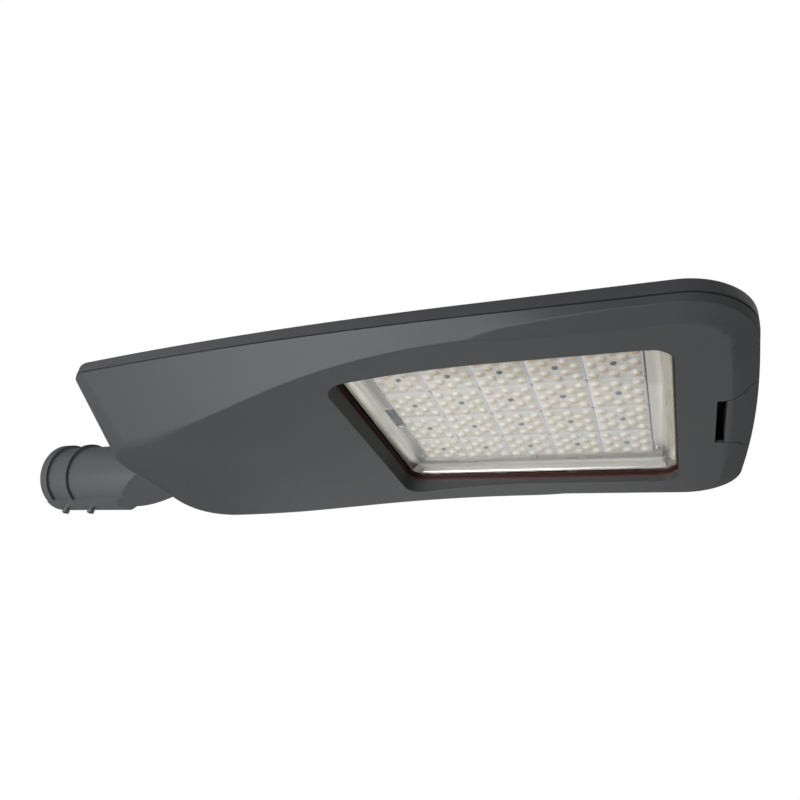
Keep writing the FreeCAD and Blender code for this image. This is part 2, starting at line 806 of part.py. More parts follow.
def terminal_block():
    """Three pole mains terminal, stepped, with a screw well over each pole."""
    y0 = gear_y
    y1 = y0 + 3.0 * terminal_pitch
    x0 = terminal_rear
    x1 = x0 + terminal_depth
    low = box(x0, x1, y0, y1, tray_top, tray_top + terminal_height * 0.6)
    high = box(x0 + terminal_depth * 0.3, x0 + terminal_depth * 0.7, y0, y1,
               tray_top, tray_top + terminal_height)
    block = fuse(low, high)
    for i in range(3):
        y = y0 + terminal_pitch * (i + 0.5)
        well = tray_top + terminal_height / 2.0
        block = block.cut(rod(2.5, x0 + terminal_depth / 2.0, y, well, terminal_height))
        block = block.cut(box(x0 - 1.0, x0 + 6.0, y - 3.0, y + 3.0, tray_top + 3.0, tray_top + 9.0))
    return block


def cable_clamp():
    """Moulded bridge that holds the mains cable beside the terminal."""
    half = cable_clamp_span / 2.0 + 5.0
    y = cable_clamp_y
    bar = box(cable_clamp_x - half, cable_clamp_x + half, y - 5.0, y + 5.0,
              tray_top, tray_top + cable_clamp_height)
    bar = bar.cut(rod(cable_radius, cable_clamp_x, y - 6.0, tray_top, 12.0, axis_y))
    for x, _ in clamp_screw_places():
        bar = bar.cut(rod(screw_radius + screw_clearance, x, y, tray_top - 1.0, cable_clamp_height + 2.0))
    return bar


def cable_clamp_screws():
    seat = tray_top + cable_clamp_height
    return Part.makeCompound([pan_screw(x, y, seat, cable_clamp_height + 1.5) for x, y in clamp_screw_places()])


def wiring_grommet():
    """Rubber grommet where the supply passes into the optical chamber."""
    z = seam_height - wiring_hole_drop
    x = partition_x
    flange = 1.5
    body = rod(wiring_hole_radius, x, wiring_hole_y, z, partition_thickness, axis_x)
    ring = rod(wiring_hole_radius + 2.0, x - flange, wiring_hole_y, z, flange, axis_x)
    collar = rod(wiring_hole_radius + 2.0, x + partition_thickness, wiring_hole_y, z, flange, axis_x)
    return fuse(body, ring, collar).cut(rod(3.0, x - 5.0, wiring_hole_y, z, partition_thickness + 10.0, axis_x))


def dome(inset, drop):
    """Crown of the upper housing between its side strip and the middle."""
    sections = [body_outline(strip_top - drop * 0.4, inset)]
    for rise, step in zip(dome_rise, dome_inset):
        sections.append(body_outline(strip_top + rise - drop, step + inset))
    return Part.makeLoft(sections, True, True)


def reflector_screw_places():
    inset = reflector_clearance + reflector_ledge / 2.0
    rear_inset = reflector_clearance + reflector_ledge * reflector_rear_share / 2.0
    corner_y = array_half_width - reflector_screw_inset
    ends = [(x, y) for x in (array_rear - rear_inset, array_front + inset) for y in (-corner_y, corner_y)]
    return ends + [(array_centre, side * (array_half_width + inset)) for side in (-1.0, 1.0)]


def catch_screw_places():
    y = hook_width / 2.0 + catch_side - 4.0
    return (-y, y)


def lid_ears():
    """Hinge ears of the upper housing, between the ears of the lower one."""
    ears = []
    for side in (-1.0, 1.0):
        y0 = side * hinge_spacing - hinge_lid_ear / 2.0
        disc = rod(hinge_ear_radius, hinge_x, y0, hinge_height, hinge_lid_ear, axis_y)
        arm = box(hinge_x, body_rear + 1.0, y0, y0 + hinge_lid_ear, lid_base, hinge_height + hinge_ear_radius)
        ears.append(fuse(disc, arm))
    return ears


def upper_housing():
    """Die-cast upper housing: side strip, shallow crown, cooling fins and the base for the boards."""
    skin = lid_wall
    reach = half_width + 10.0
    roof = strip_top + 60.0
    outer = fuse(outline_block(lid_base, strip_top, 0.0), dome(0.0, 0.0))
    inner = fuse(outline_block(lid_base + skin, strip_top - skin * 0.4, skin), dome(skin, skin))
    chamber = inner.common(sealed_block(lid_base, roof, gasket_inset * 2.0))
    mouth = sealed_block(lid_base - 1.0, lid_base + skin + 1.0, rim_width)
    front = outline_block(lid_base - 1.0, lid_base + skin, skin).fuse(inner)
    pocket = front.cut(sealed_block(lid_base - 2.0, roof, gasket_inset - 4.0))
    pocket = pocket.common(box(seal_line_front - 20.0, body_tip, -reach, reach, 0, roof))
    span = fin_zone_half_width
    base = box(fin_zone_rear, fin_zone_front, -span, span, heat_base_height, roof).common(outer)
    boss_height = heat_base_height - ledge_top + 0.5
    bosses = [rod(reflector_boss_radius, x, y, ledge_top, boss_height) for x, y in reflector_screw_places()]
    lid = outer.cut([chamber, mouth, pocket]).fuse([base] + bosses + lid_ears())
    cutters = []
    width = fin_pitch - fin_thickness
    floor = heat_base_height + heat_base_thickness
    for i in range(fin_count - 1):
        y = (i - (fin_count - 2) / 2.0) * fin_pitch
        cutters.append(box(fin_zone_rear, fin_zone_front, y - width / 2.0, y + width / 2.0, floor, floor + 60.0))
    for x, y in module_places():
        cutters.append(hex_bar(plate_screw_radius, x, y, heat_base_height - 1.0, 5.0))
    for x, y in reflector_screw_places():
        cutters.append(rod(screw_radius, x, y, ledge_top - 1.0, 6.5))
    for y in catch_screw_places():
        cutters.append(rod(1.5, catch_back - 0.5, y, catch_screw_height, 2.5, axis_x))
    for side in (-1.0, 1.0):
        y0 = side * hinge_spacing - 20.0
        cutters.append(rod(hinge_pin_radius + hinge_running, hinge_x, y0, hinge_height, 40.0, axis_y))
    return lid.cut(cutters).removeSplitter()


def module_places():
    """Centres of the lens plates: a grid of square modules."""
    places = []
    for i in range(modules_long):
        for j in range(modules_wide):
            places.append((array_rear + module * (i + 0.5), -array_half_width + module * (j + 0.5)))
    return places


def lens_points():
    """Twelve lens centres of one plate: corners, edge middles and an inner square."""
    grid = [(a, b) for a in (-1, 0, 1) for b in (-1, 0, 1) if (a, b) != (0, 0)]
    outer = [(a * dome_pitch_x, b * dome_pitch_y) for a, b in grid]
    inner = [(a * dome_pitch_x / 2.0, b * dome_pitch_y / 2.0) for a in (-1, 1) for b in (-1, 1)]
    return outer + inner


def lens_plates():
    """Twenty clear plates, each with twelve lenses and a rim that stands on the board."""
    half = (module - plate_gap) / 2.0
    inner = half - plate_rim_width
    top = plate_base + plate_skin
    plate = box(-half, half, -half, half, plate_base, board_base)
    plate = plate.cut(box(-inner, inner, -inner, inner, top, board_base + 1.0))
    domes = [frustum(dome_radius, dome_top_radius, x, y, plate_base, -dome_height) for x, y in lens_points()]
    hole = hex_bar(plate_screw_radius + plate_screw_play, 0, 0, plate_base - 5.0, 10.0)
    plate = plate.fuse(domes).removeSplitter().cut(hole)
    return Part.makeCompound([plate.translated(Vector(x, y, 0)) for x, y in module_places()])


def lens_plate_screws():
    """One small screw through the middle of each lens plate into the base of the fins."""
    head = hex_bar(plate_screw_head, 0, 0, plate_base - 1.2, 1.2)
    shank = hex_bar(plate_screw_radius, 0, 0, plate_base, heat_base_height + 4.0 - plate_base)
    screw = fuse(head, shank)
    return Part.makeCompound([screw.translated(Vector(x, y, 0)) for x, y in module_places()])


def led_boards():
    """Four metal core boards side by side."""
    boards = []
    half = (module - board_gap) / 2.0
    for j in range(modules_wide):
        y = -array_half_width + module * (j + 0.5)
        boards.append(box(array_rear, array_front, y - half, y + half, board_base, heat_base_height))
    hole_radius = plate_screw_radius + plate_screw_play
    holes = [hex_bar(hole_radius, x, y, board_base - 1.0, board_thickness + 2.0) for x, y in module_places()]
    return Part.makeCompound([board.cut(holes) for board in boards])


def led_chips():
    """One light emitting chip above every lens."""
    half = chip_size / 2.0
    chips = []
    for x, y in module_places():
        for a, b in lens_points():
            chips.append(box(x + a - half, x + a + half, y + b - half, y + b + half,
                             board_base - chip_height, board_base))
    return Part.makeCompound(chips)


def reflector_section(offset, z):
    """Rectangle with cut corners round the light source, for one level of the reflector."""
    gap = reflector_clearance
    x0 = array_rear - gap - offset * reflector_rear_share
    x1 = array_front + gap + offset
    y = array_half_width + gap + offset
    c = reflector_corner * offset / reflector_side + 0.5
    points = [Vector(x0 + c, -y, z), Vector(x1 - c, -y, z), Vector(x1, -y + c, z), Vector(x1, y - c, z),
              Vector(x1 - c, y, z), Vector(x0 + c, y, z), Vector(x0, y - c, z), Vector(x0, -y + c, z)]
    return Part.makePolygon(points + points[:1])


def reflector_levels():
    """Offsets and heights down the hollow curve, from the ledge to the rim."""
    fall = ledge_underside - reflector_rim_height
    run = reflector_side - reflector_ledge
    steps = 4
    levels = []
    for i in range(steps + 1):
        angle = math.radians(90.0 * i / steps)
        levels.append((reflector_ledge + run * math.sin(angle), reflector_rim_height + fall * math.cos(angle)))
    return levels


def reflector_frame():
    """Pressed and polished aluminium reflector round the lens plates."""
    t = reflector_thickness
    levels = reflector_levels()
    inner = Part.makeLoft([reflector_section(o, z) for o, z in levels], True, True)
    shifted = [(o + t, z + t) for o, z in levels]
    shifted[-1] = (shifted[-1][0], reflector_rim_height)
    outer = Part.makeLoft([reflector_section(o, z) for o, z in shifted], True, True)
    gap = reflector_clearance
    y = array_half_width + gap
    low = reflector_rim_height - 1.0
    high = heat_base_height
    opening = box(array_rear - gap, array_front + gap, -y, y, low, high)
    x1 = array_rear - gap
    notch = box(x1 - notch_depth, x1 + 1.0, -notch_half_width, notch_half_width, low, high)
    frame = outer.cut([inner, opening, notch])
    for x, y in reflector_screw_places():
        frame = frame.cut(rod(screw_radius + screw_clearance, x, y, low, high - low))
    return frame


def reflector_screws():
    seat = ledge_underside
    screws = [pan_screw(x, y, seat, 5.5, False, reflector_screw_head) for x, y in reflector_screw_places()]
    return Part.makeCompound(screws)


def reflector_clip():
    """Bent spring wire in the reflector's notch, which holds it to the base of the fins."""
    wire = 1.2
    x = array_rear - reflector_clearance - notch_depth + 2.5
    z = ledge_underside - 2.5
    half = reflector_clip_half
    stem = rod(wire, x, 0, z, heat_base_height - z)
    bar = rod(wire, x, -half, z, 2.0 * half, axis_y)
    return fuse(stem, bar)


def lid_catch():
    """Bent steel catch on the upper housing's front wall, for the latch hook."""
    t = catch_thickness
    half = hook_width / 2.0 + catch_side
    low = hook_top - hook_thickness - catch_play - t
    tab = box(latch_pin_x, catch_back, -half, half, low, low + t)
    leg = box(catch_back - t, catch_back, -half, half, low, catch_screw_height + 3.0)
    catch = fuse(tab, leg)
    for y in catch_screw_places():
        catch = catch.cut(rod(1.8, catch_back - t - 1.0, y, catch_screw_height, t + 2.0, axis_x))
    return catch


def catch_screws():
    seat = catch_back - catch_thickness
    screws = []
    for y in catch_screw_places():
        head = rod(2.6, seat - 1.4, y, catch_screw_height, 1.4, axis_x)
        shank = rod(1.5, seat, y, catch_screw_height, catch_thickness + 2.0, axis_x)
        screws.append(fuse(head, shank))
    return Part.makeCompound(screws)


def rivet_places():
    return [(leaf_x - hook_foot / 2.0, y) for y in (-rivet_y, rivet_y)]


def latch_lever():
    """Cast lever that forms the tip: a shell with pivot bosses and a finger edge at the slot."""
    outer = hull_form(0.0, 0.0).common(lever_plan(lever_gap, 0.0, lever_top))
    hollow = hull_form(lever_skin, lever_skin).common(lever_plan(lever_gap + lever_skin, 0.0, seam_height))
    bosses = []
    for side in (-1.0, 1.0):
        y0, y1 = sorted((side * 26.0, side * 34.0))
        boss = box(latch_pin_x - latch_boss, body_tip, y0, y1, face_height, lever_top)
        bosses.append(boss.common(outer))
    half = hook_width / 2.0 + 2.0
    seat = box(slot_rear, leaf_x + hook_thickness, -half, half, face_height, hook_seat_height)
    bosses.append(seat.common(outer))
    lever = outer.cut(hollow).fuse(bosses)
    hole = latch_pin_radius + latch_running
    lever = lever.cut(rod(hole, latch_pin_x, -half_width, latch_pin_height, 2.0 * half_width, axis_y))
    for x, y in rivet_places():
        lever = lever.cut(rod(rivet_radius, x, y, hook_seat_height - 3.0, 4.0))
    return lever.removeSplitter()


def latch_spring_hook():
    """Spring steel leaf on the lever, with a nose that hooks over the catch."""
    t = hook_thickness
    half = hook_width / 2.0
    foot = box(leaf_x + t - hook_foot, leaf_x + t, -half, half, hook_seat_height, hook_seat_height + t)
    leaf = box(leaf_x, leaf_x + t, -half, half, hook_seat_height, hook_top)
    nose = box(leaf_x, leaf_x + t + hook_reach, -half, half, hook_top - t, hook_top)
    hook = fuse(foot, leaf, nose)
    for x, y in rivet_places():
        hook = hook.cut(rod(rivet_radius, x, y, hook_seat_height - 1.0, t + 2.0))
    return hook


def hook_rivets():
    """Two rivets that hold the spring hook on the lever."""
    rivets = []
    for x, y in rivet_places():
        shank = rod(rivet_radius, x, y, hook_seat_height - 3.0, 3.0 + hook_thickness)
        rivets.append(fuse(shank, rod(rivet_radius + 1.1, x, y, hook_seat_height + hook_thickness, 1.2)))
    return Part.makeCompound(rivets)


nodes = [lower_housing, pole_spigot, spigot_set_screws, spigot_clamp, spigot_clamp_bolts, cable_grommet,
         window_glass, glass_gasket, glass_clips, glass_clip_screws, housing_gasket, gear_tray, tray_screws,
         led_driver, driver_screws, surge_protector, terminal_block, cable_clamp, cable_clamp_screws,
         wiring_grommet, hinge_pins, latch_pin, upper_housing, led_boards, led_chips, lens_plates,
         lens_plate_screws, reflector_frame, reflector_screws, reflector_clip, lid_catch, catch_screws,
         latch_lever, latch_spring_hook, hook_rivets]

os.makedirs("parts", exist_ok=True)
for make in nodes:
    shape = make()
    shape.exportStep("parts/" + make.__name__ + ".step")
    size = shape.BoundBox
    print(make.__name__, len(shape.Solids), shape.isValid(), round(shape.Volume),
          [round(v, 1) for v in (size.XMin, size.XMax, size.YMin, size.YMax, size.ZMin, size.ZMax)])
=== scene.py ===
import math

import bmesh
import bpy
import numpy as np
from mathutils import Matrix, Vector


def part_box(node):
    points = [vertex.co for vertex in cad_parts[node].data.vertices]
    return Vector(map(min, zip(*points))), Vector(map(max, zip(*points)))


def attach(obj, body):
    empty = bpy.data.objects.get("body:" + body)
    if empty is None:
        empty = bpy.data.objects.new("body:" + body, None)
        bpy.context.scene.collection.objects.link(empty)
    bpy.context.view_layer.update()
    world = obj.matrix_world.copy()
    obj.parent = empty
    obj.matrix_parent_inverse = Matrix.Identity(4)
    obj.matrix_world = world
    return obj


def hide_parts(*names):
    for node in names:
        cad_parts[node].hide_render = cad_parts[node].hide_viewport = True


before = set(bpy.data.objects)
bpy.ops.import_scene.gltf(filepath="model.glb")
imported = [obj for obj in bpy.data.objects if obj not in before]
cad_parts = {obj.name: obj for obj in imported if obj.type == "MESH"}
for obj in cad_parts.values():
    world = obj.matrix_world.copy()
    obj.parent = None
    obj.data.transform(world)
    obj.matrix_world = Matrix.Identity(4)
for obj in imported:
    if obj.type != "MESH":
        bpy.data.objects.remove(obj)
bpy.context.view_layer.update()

# Lower housing: the boat-shaped hull of the lamp, pressure die-cast in aluminium and
# powder coated dark grey. Everything else is screwed or hinged to it, so it comes first.
# Sizes are in mm, with x from the pole to the tip and z up; MM turns them to metres.
MM = 0.001
HULL_GAP = 0.2
SEAM_Z = 50.0
SEAM_EASE = 0.3
RIM_WIDTH = 6.0
BODY_REAR_X = 118.0
BODY_TIP_X = 789.5
TIP_BOW = 4.5
HALF_WIDTH = 172.5
REAR_HALF_WIDTH = 148.5
WIDTH_FULL_X = 570.0
TWIST_END_X = 680.0
TIP_CORNER = 58.0
REAR_CORNER = 32.0
REAR_LOW_CORNER = 52.0
DRAFT_DEPTH = 70.0
SIDE_SLOPE = 0.88
TIP_SIDE_SLOPE = 0.12
REAR_SLOPE = 0.427
FACE_Z = 35.3
BELLY_Z = -14.0
BELLY_END_X = 216.0
BELLY_EASE = 35.0
RAMP_END_X = 475.0
RAMP_EASE = 108.0
BEVEL_Z = 42.0
BEVEL_LIP = 1.5
BEVEL_SIDE = 17.5
BEVEL_TIP = 21.0
BEVEL_START_X = 505.0
BEVEL_FULL_X = 600.0
FOOT_RUN = 14.0
LEAST_RUN = 29.0
REAR_ZONE_X = 200.0
REAR_RUN = 1.35
FINE_SHARE = 0.06
RIM_ROUND = 1.2
RIM_BAND = 1.5
RIM_FADE = 12.0
CREASE_ROUND = 2.0
HEEL_ROUND = 13.0
HEEL_START_X = 270.0
HEEL_FULL_X = 170.0
HEEL_CORNER_X = 150.0
HEEL_CLOSE_X = 122.0
KEEL_X = (200.0, 700.0)
EVEN_SHARE = 0.05
HULL_RINGS = 46
HINGE_Y = 75.0
LOWER_EAR_STEP = 9.4
LOWER_EAR_HALF = 3.05
EAR_X = (100.0, 118.9)
EAR_Z = (40.0, 60.0)


def linear(code):
    """Linear colour of an sRGB hex code: the sRGB curve taken off each channel."""
    channels = [int(code[i:i + 2], 16) / 255.0 for i in (1, 3, 5)]
    return [c / 12.92 if c <= 0.04045 else ((c + 0.055) / 1.055) ** 2.4 for c in channels] + [1.0]


def add_node(tree, kind, inputs=(), **settings):
    """Adds one shader node with its settings, and fills its inputs with values or links."""
    node = tree.nodes.new("ShaderNode" + kind)
    for name, value in settings.items():
        setattr(node, name, value)
    for name, value in dict(inputs).items():
        if isinstance(value, bpy.types.NodeSocket):
            tree.links.new(value, node.inputs[name])
        else:
            node.inputs[name].default_value = value
    return node


def new_finish(name, **values):
    """A material, its node tree and its shader, with the numbers that are the same all over."""
    material = bpy.data.materials.new(name)
    material.use_nodes = True
    tree = material.node_tree
    shader = tree.nodes["Principled BSDF"]
    for key, value in values.items():
        shader.inputs[key.replace("_", " ")].default_value = value
    return material, tree, shader


def grained(name, dark, light, grain, rough, relief, patch=60.0, stretch=(1.0, 1.0, 1.0), **values):
    """A finish whose colour drifts between two shades over patches of a size in mm, with a
    grain of a size in mm that moves its roughness and lifts its surface by a relief in mm."""
    material, tree, shader = new_finish(name, **values)
    place = add_node(tree, "TexCoord").outputs["Object"]
    drawn = add_node(tree, "Mapping", {"Vector": place, "Scale": stretch}).outputs["Vector"]
    drift = add_node(tree, "TexNoise", {"Vector": place, "Scale": 1.0 / (patch * MM), "Detail": 3.0})
    fine = add_node(tree, "TexNoise", {"Vector": drawn, "Scale": 1.0 / (grain * MM), "Detail": 2.0})
    shade = add_node(tree, "MixRGB", {"Fac": drift.outputs["Fac"], "Color1": linear(dark),
                                      "Color2": linear(light)})
    gloss = add_node(tree, "MapRange", {"Value": fine.outputs["Fac"], "From Min": 0.3, "From Max": 0.7,
                                        "To Min": rough[0], "To Max": rough[1]})
    lift = add_node(tree, "Bump", {"Height": fine.outputs["Fac"], "Distance": relief * MM, "Strength": 1.0})
    tree.links.new(shade.outputs["Color"], shader.inputs["Base Color"])
    tree.links.new(gloss.outputs["Result"], shader.inputs["Roughness"])
    tree.links.new(lift.outputs["Normal"], shader.inputs["Normal"])
    return material


def add_piece(name, points, faces, material):
    """A new mesh object from points in mm and rows of face corners."""
    mesh = bpy.data.meshes.new(name)
    mesh.from_pydata((np.asarray(points, float) * MM).tolist(), [], np.asarray(faces).tolist())
    piece = bpy.data.objects.new(name, mesh)
    bpy.context.scene.collection.objects.link(piece)
    mesh.materials.append(material)
    return piece


def weld(mesh, distance):
    """Merges vertices that lie together, drops faces that vanish by it and turns all outwards."""
    work = bmesh.new()
    work.from_mesh(mesh)
    bmesh.ops.remove_doubles(work, verts=work.verts, dist=distance * MM)
    bmesh.ops.dissolve_degenerate(work, edges=work.edges, dist=distance * MM * 0.1)
    bmesh.ops.recalc_face_normals(work, faces=work.faces)
    work.to_mesh(mesh)
    work.free()


def smooth(mesh, angle=32.0):
    """Smooth shading that stays sharp where faces meet at more than an angle in degrees."""
    mesh.shade_smooth()
    mesh.set_sharp_from_angle(angle=math.radians(angle))


def merged_copy(node, name, material):
    """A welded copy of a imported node, to be worked on in its place."""
    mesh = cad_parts[node].data.copy()
    if "custom_normal" in mesh.attributes:
        mesh.attributes.remove(mesh.attributes["custom_normal"])
    mesh.materials.clear()
    mesh.materials.append(material)
    piece = bpy.data.objects.new(name, mesh)
    bpy.context.scene.collection.objects.link(piece)
    weld(mesh, 0.002)
    return piece


def apply_modifiers(piece):
    """Bakes a piece's modifiers into its mesh."""
    graph = bpy.context.evaluated_depsgraph_get()
    mesh = bpy.data.meshes.new_from_object(piece.evaluated_get(graph))
    piece.modifiers.clear()
    piece.data = mesh


def shape_by(piece, form, operation="INTERSECT"):
    """Cuts a piece back to what lies inside a closed form, or joins the form to it."""
    cut = piece.modifiers.new("form", "BOOLEAN")
    cut.operation = operation
    cut.solver = "EXACT"
    cut.object = form
    apply_modifiers(piece)


def arc(a, m, b, count):
    """Points along the circle through three points, from the first towards the last. Its centre is
    where the middle lines between the points meet."""
    a, m, b = (np.array(p, float) for p in (a, m, b))
    d = 2.0 * (a[0] * (m[1] - b[1]) + m[0] * (b[1] - a[1]) + b[0] * (a[1] - m[1]))
    squares = [p @ p for p in (a, m, b)]
    ux = (squares[0] * (m[1] - b[1]) + squares[1] * (b[1] - a[1]) + squares[2] * (a[1] - m[1])) / d
    uy = (squares[0] * (b[0] - m[0]) + squares[1] * (a[0] - b[0]) + squares[2] * (m[0] - a[0])) / d
    centre = np.array([ux, uy])
    turn = [math.atan2(*(p - centre)[::-1]) for p in (a, m, b)]
    swing = (turn[2] - turn[0] + math.pi) % (2.0 * math.pi) - math.pi
    angle = turn[0] + swing * np.arange(count) / count
    return centre + np.linalg.norm(a - centre) * np.stack([np.cos(angle), np.sin(angle)], axis=1)


def run(a, b, count):
    """Points evenly along a line, without the last."""
    t = (np.arange(count) / count)[:, None]
    return np.array(a, float) * (1.0 - t) + np.array(b, float) * t


def side_width(x):
    """Half width of the body: a parabola that swells towards the middle and then runs level."""
    t = np.clip((x - BODY_REAR_X) / (WIDTH_FULL_X - BODY_REAR_X), 0.0, 1.0)
    return HALF_WIDTH - (HALF_WIDTH - REAR_HALF_WIDTH) * (1.0 - t) ** 2


def outline(inset, tip_inset=None, rear_inset=None, tip_side=None, tip_radius=None, rear_radius=None):
    """Closed plan outline of the body: straight rear edge, round corners, curved sides, bowed tip.
    Each stretch is a line or a circle arc with its own count of points, so that outlines drawn in
    by different insets match point for point. The second half mirrors the first."""
    tip_inset = inset if tip_inset is None else tip_inset
    rear_inset = inset if rear_inset is None else rear_inset
    tip_side = inset if tip_side is None else tip_side
    tip_radius = max(TIP_CORNER - inset, 14.0) if tip_radius is None else tip_radius
    rear_radius = max(REAR_CORNER - inset, 10.0) if rear_radius is None else rear_radius
    x_rear = BODY_REAR_X + rear_inset
    x_tip = BODY_TIP_X - tip_inset
    x_corner = x_tip - TIP_BOW - tip_radius
    x_side = x_rear + rear_radius
    y_side = side_width(x_side) - inset
    x_mid = (x_side + WIDTH_FULL_X) / 2.0
    y_tip = HALF_WIDTH - tip_side
    short = 1.0 - math.sqrt(0.5)
    x_twist = min(TWIST_END_X, x_corner - 5.0)
    parts = [
        run((x_rear, 0), (x_rear, y_side - rear_radius), 30),
        arc((x_rear, y_side - rear_radius), (x_rear + rear_radius * short, y_side - rear_radius * short),
            (x_side, y_side), 34),
        arc((x_side, y_side), (x_mid, side_width(x_mid) - inset), (WIDTH_FULL_X, HALF_WIDTH - inset), 84),
        run((WIDTH_FULL_X, HALF_WIDTH - inset), (x_twist, y_tip), 34),
        run((x_twist, y_tip), (x_corner, y_tip), 16),
        arc((x_corner, y_tip), (x_tip - TIP_BOW - tip_radius * short, y_tip - tip_radius * short),
            (x_tip - TIP_BOW, y_tip - tip_radius), 40),
        arc((x_tip - TIP_BOW, y_tip - tip_radius), (x_tip, 0),
            (x_tip - TIP_BOW, tip_radius - y_tip), 60)[:30],
    ]
    half = np.concatenate(parts)
    other = np.concatenate([[[x_tip, 0.0]], half[:0:-1] * (1.0, -1.0)])
    return np.concatenate([half, other])


def per_row(x, rows, values):
    """Linear interpolation done for all rows at once, by laying them end to end."""
    shift = np.arange(len(rows))[:, None] * (np.max(rows) + 10.0)
    x = np.clip(x, rows[:, :1], rows[:, -1:])
    return np.interp((x + shift).ravel(), (rows + shift).ravel(), values.ravel()).reshape(x.shape)


def soften(lines, reach, weight, rings):
    """Rounds the corners of many profile lines: each new point is the average of its line over
    a reach to both sides along it, weighted by a cosine bell. Rings gather where the weight is high."""
    step = np.linalg.norm(np.diff(lines, axis=1), axis=2)
    start = np.zeros((len(lines), 1))
    along = np.concatenate([start, np.cumsum(step, axis=1)], axis=1)
    crowd = np.concatenate([start, np.cumsum(step * (weight[:, 1:] + weight[:, :-1]) / 2.0, axis=1)], axis=1)
    at = per_row(np.linspace(0.0, 1.0, rings) * crowd[:, -1:], crowd, along)
    wide = np.minimum(per_row(at, along, reach), np.minimum(at, along[:, -1:] - at))
    result = np.zeros(at.shape + (3,))
    bell = np.linspace(-1.0, 1.0, 21)
    share = 1.0 + np.cos(math.pi * bell)
    share /= share.sum()
    for offset, part in zip(bell, share):
        for axis in range(3):
            result[:, :, axis] += part * per_row(at + offset * wide, along, lines[:, :, axis])
    return result


def closed_form(name, rings):
    """A closed solid from rings of points: quads between rings, a flat lid on the first ring,
    and the last ring folded on to the middle line."""
    stations, count = rings.shape[:2]
    index = np.arange(stations * count).reshape(stations, count)
    after = np.roll(index, -1, axis=0)
    quads = np.stack([index[:, :-1], after[:, :-1], after[:, 1:], index[:, 1:]], axis=2).reshape(-1, 4)
    piece = add_piece(name, rings.reshape(-1, 3), quads, powder_coat)
    work = bmesh.new()
    work.from_mesh(piece.data)
    bmesh.ops.remove_doubles(work, verts=work.verts, dist=0.001 * MM)
    bmesh.ops.holes_fill(work, edges=[e for e in work.edges if e.is_boundary], sides=0)
    bmesh.ops.recalc_face_normals(work, faces=work.faces)
    work.to_mesh(piece.data)
    work.free()
    return piece


def underside(x):
    """Height of the underside: flat belly, straight ramp and flat face, joined by circle arcs that
    touch them, a short one at the belly and a long one at the face."""
    angle = math.atan2(FACE_Z - BELLY_Z, RAMP_END_X - BELLY_END_X)
    belly = BELLY_EASE / math.tan(angle / 2.0)
    ramp = RAMP_EASE / math.tan(angle / 2.0)
    start = x - (BELLY_END_X - BELLY_EASE)
    end = RAMP_END_X + RAMP_EASE - x
    low = BELLY_Z + belly - np.sqrt(belly ** 2 - np.clip(start, 0.0, belly * math.sin(angle)) ** 2)
    high = FACE_Z - ramp + np.sqrt(ramp ** 2 - np.clip(end, 0.0, ramp * math.sin(angle)) ** 2)
    line = BELLY_Z + (x - BELLY_END_X) * math.tan(angle)
    return np.where(start < belly * math.sin(angle), low, np.where(end < ramp * math.sin(angle), high, line))


def bevel(x, y):
    """Height of the bevel round the window face: a cone round the tip's corners, a plane along
    the tip and sides, and behind them a ruled surface that twists until it meets the side wall."""
    y = np.abs(y)
    drop = BEVEL_Z - FACE_Z
    centre_x = BODY_TIP_X - TIP_BOW - TIP_CORNER
    centre_y = HALF_WIDTH - TIP_CORNER
    side = (HALF_WIDTH - y - BEVEL_LIP) / (BEVEL_SIDE - BEVEL_LIP)
    bow = TIP_BOW * (y / centre_y) ** 2
    tip = (BODY_TIP_X - BEVEL_LIP - bow - x) / (BEVEL_TIP - BEVEL_LIP)
    corner = side
    # The cone's axis leans as its two edges differ in width, and four rounds settle the share.
    for _ in range(4):
        away = np.hypot(x - centre_x, y - centre_y - corner * (BEVEL_TIP - BEVEL_SIDE))
        corner = (TIP_CORNER - BEVEL_LIP - away) / (BEVEL_TIP - BEVEL_LIP)
    share = np.where(x < centre_x, side, np.where(y < centre_y, tip, corner))
    full = BEVEL_Z - drop * share
    # The ruled surface reaches past both of its edges, so that it always meets its neighbours,
    # and starts deep inside the hull, where the wall still hides it.
    over = 2.0
    deep = 15.0
    low_y = HALF_WIDTH - BEVEL_SIDE - (BEVEL_SIDE - BEVEL_LIP) / drop * over
    high_y = HALF_WIDTH - BEVEL_LIP + (BEVEL_SIDE - BEVEL_LIP) / drop * over
    z0 = FACE_Z - over
    z1 = BEVEL_Z + over
    floor = z0 - deep
    start_y = side_width(BEVEL_START_X)
    f = np.clip((x - BEVEL_START_X) / (BEVEL_FULL_X - BEVEL_START_X), 0.0, 1.0)
    ya = (start_y - SIDE_SLOPE * (SEAM_Z - floor)) * (1.0 - f) + low_y * f
    yb = (start_y - SIDE_SLOPE * (SEAM_Z - z1)) * (1.0 - f) + high_y * f
    za = floor * (1.0 - f) + z0 * f
    twisted = za + (y - ya) * (z1 - za) / (yb - ya)
    return np.where(x < BEVEL_START_X, -100.0, np.where(x < BEVEL_FULL_X, twisted, full))


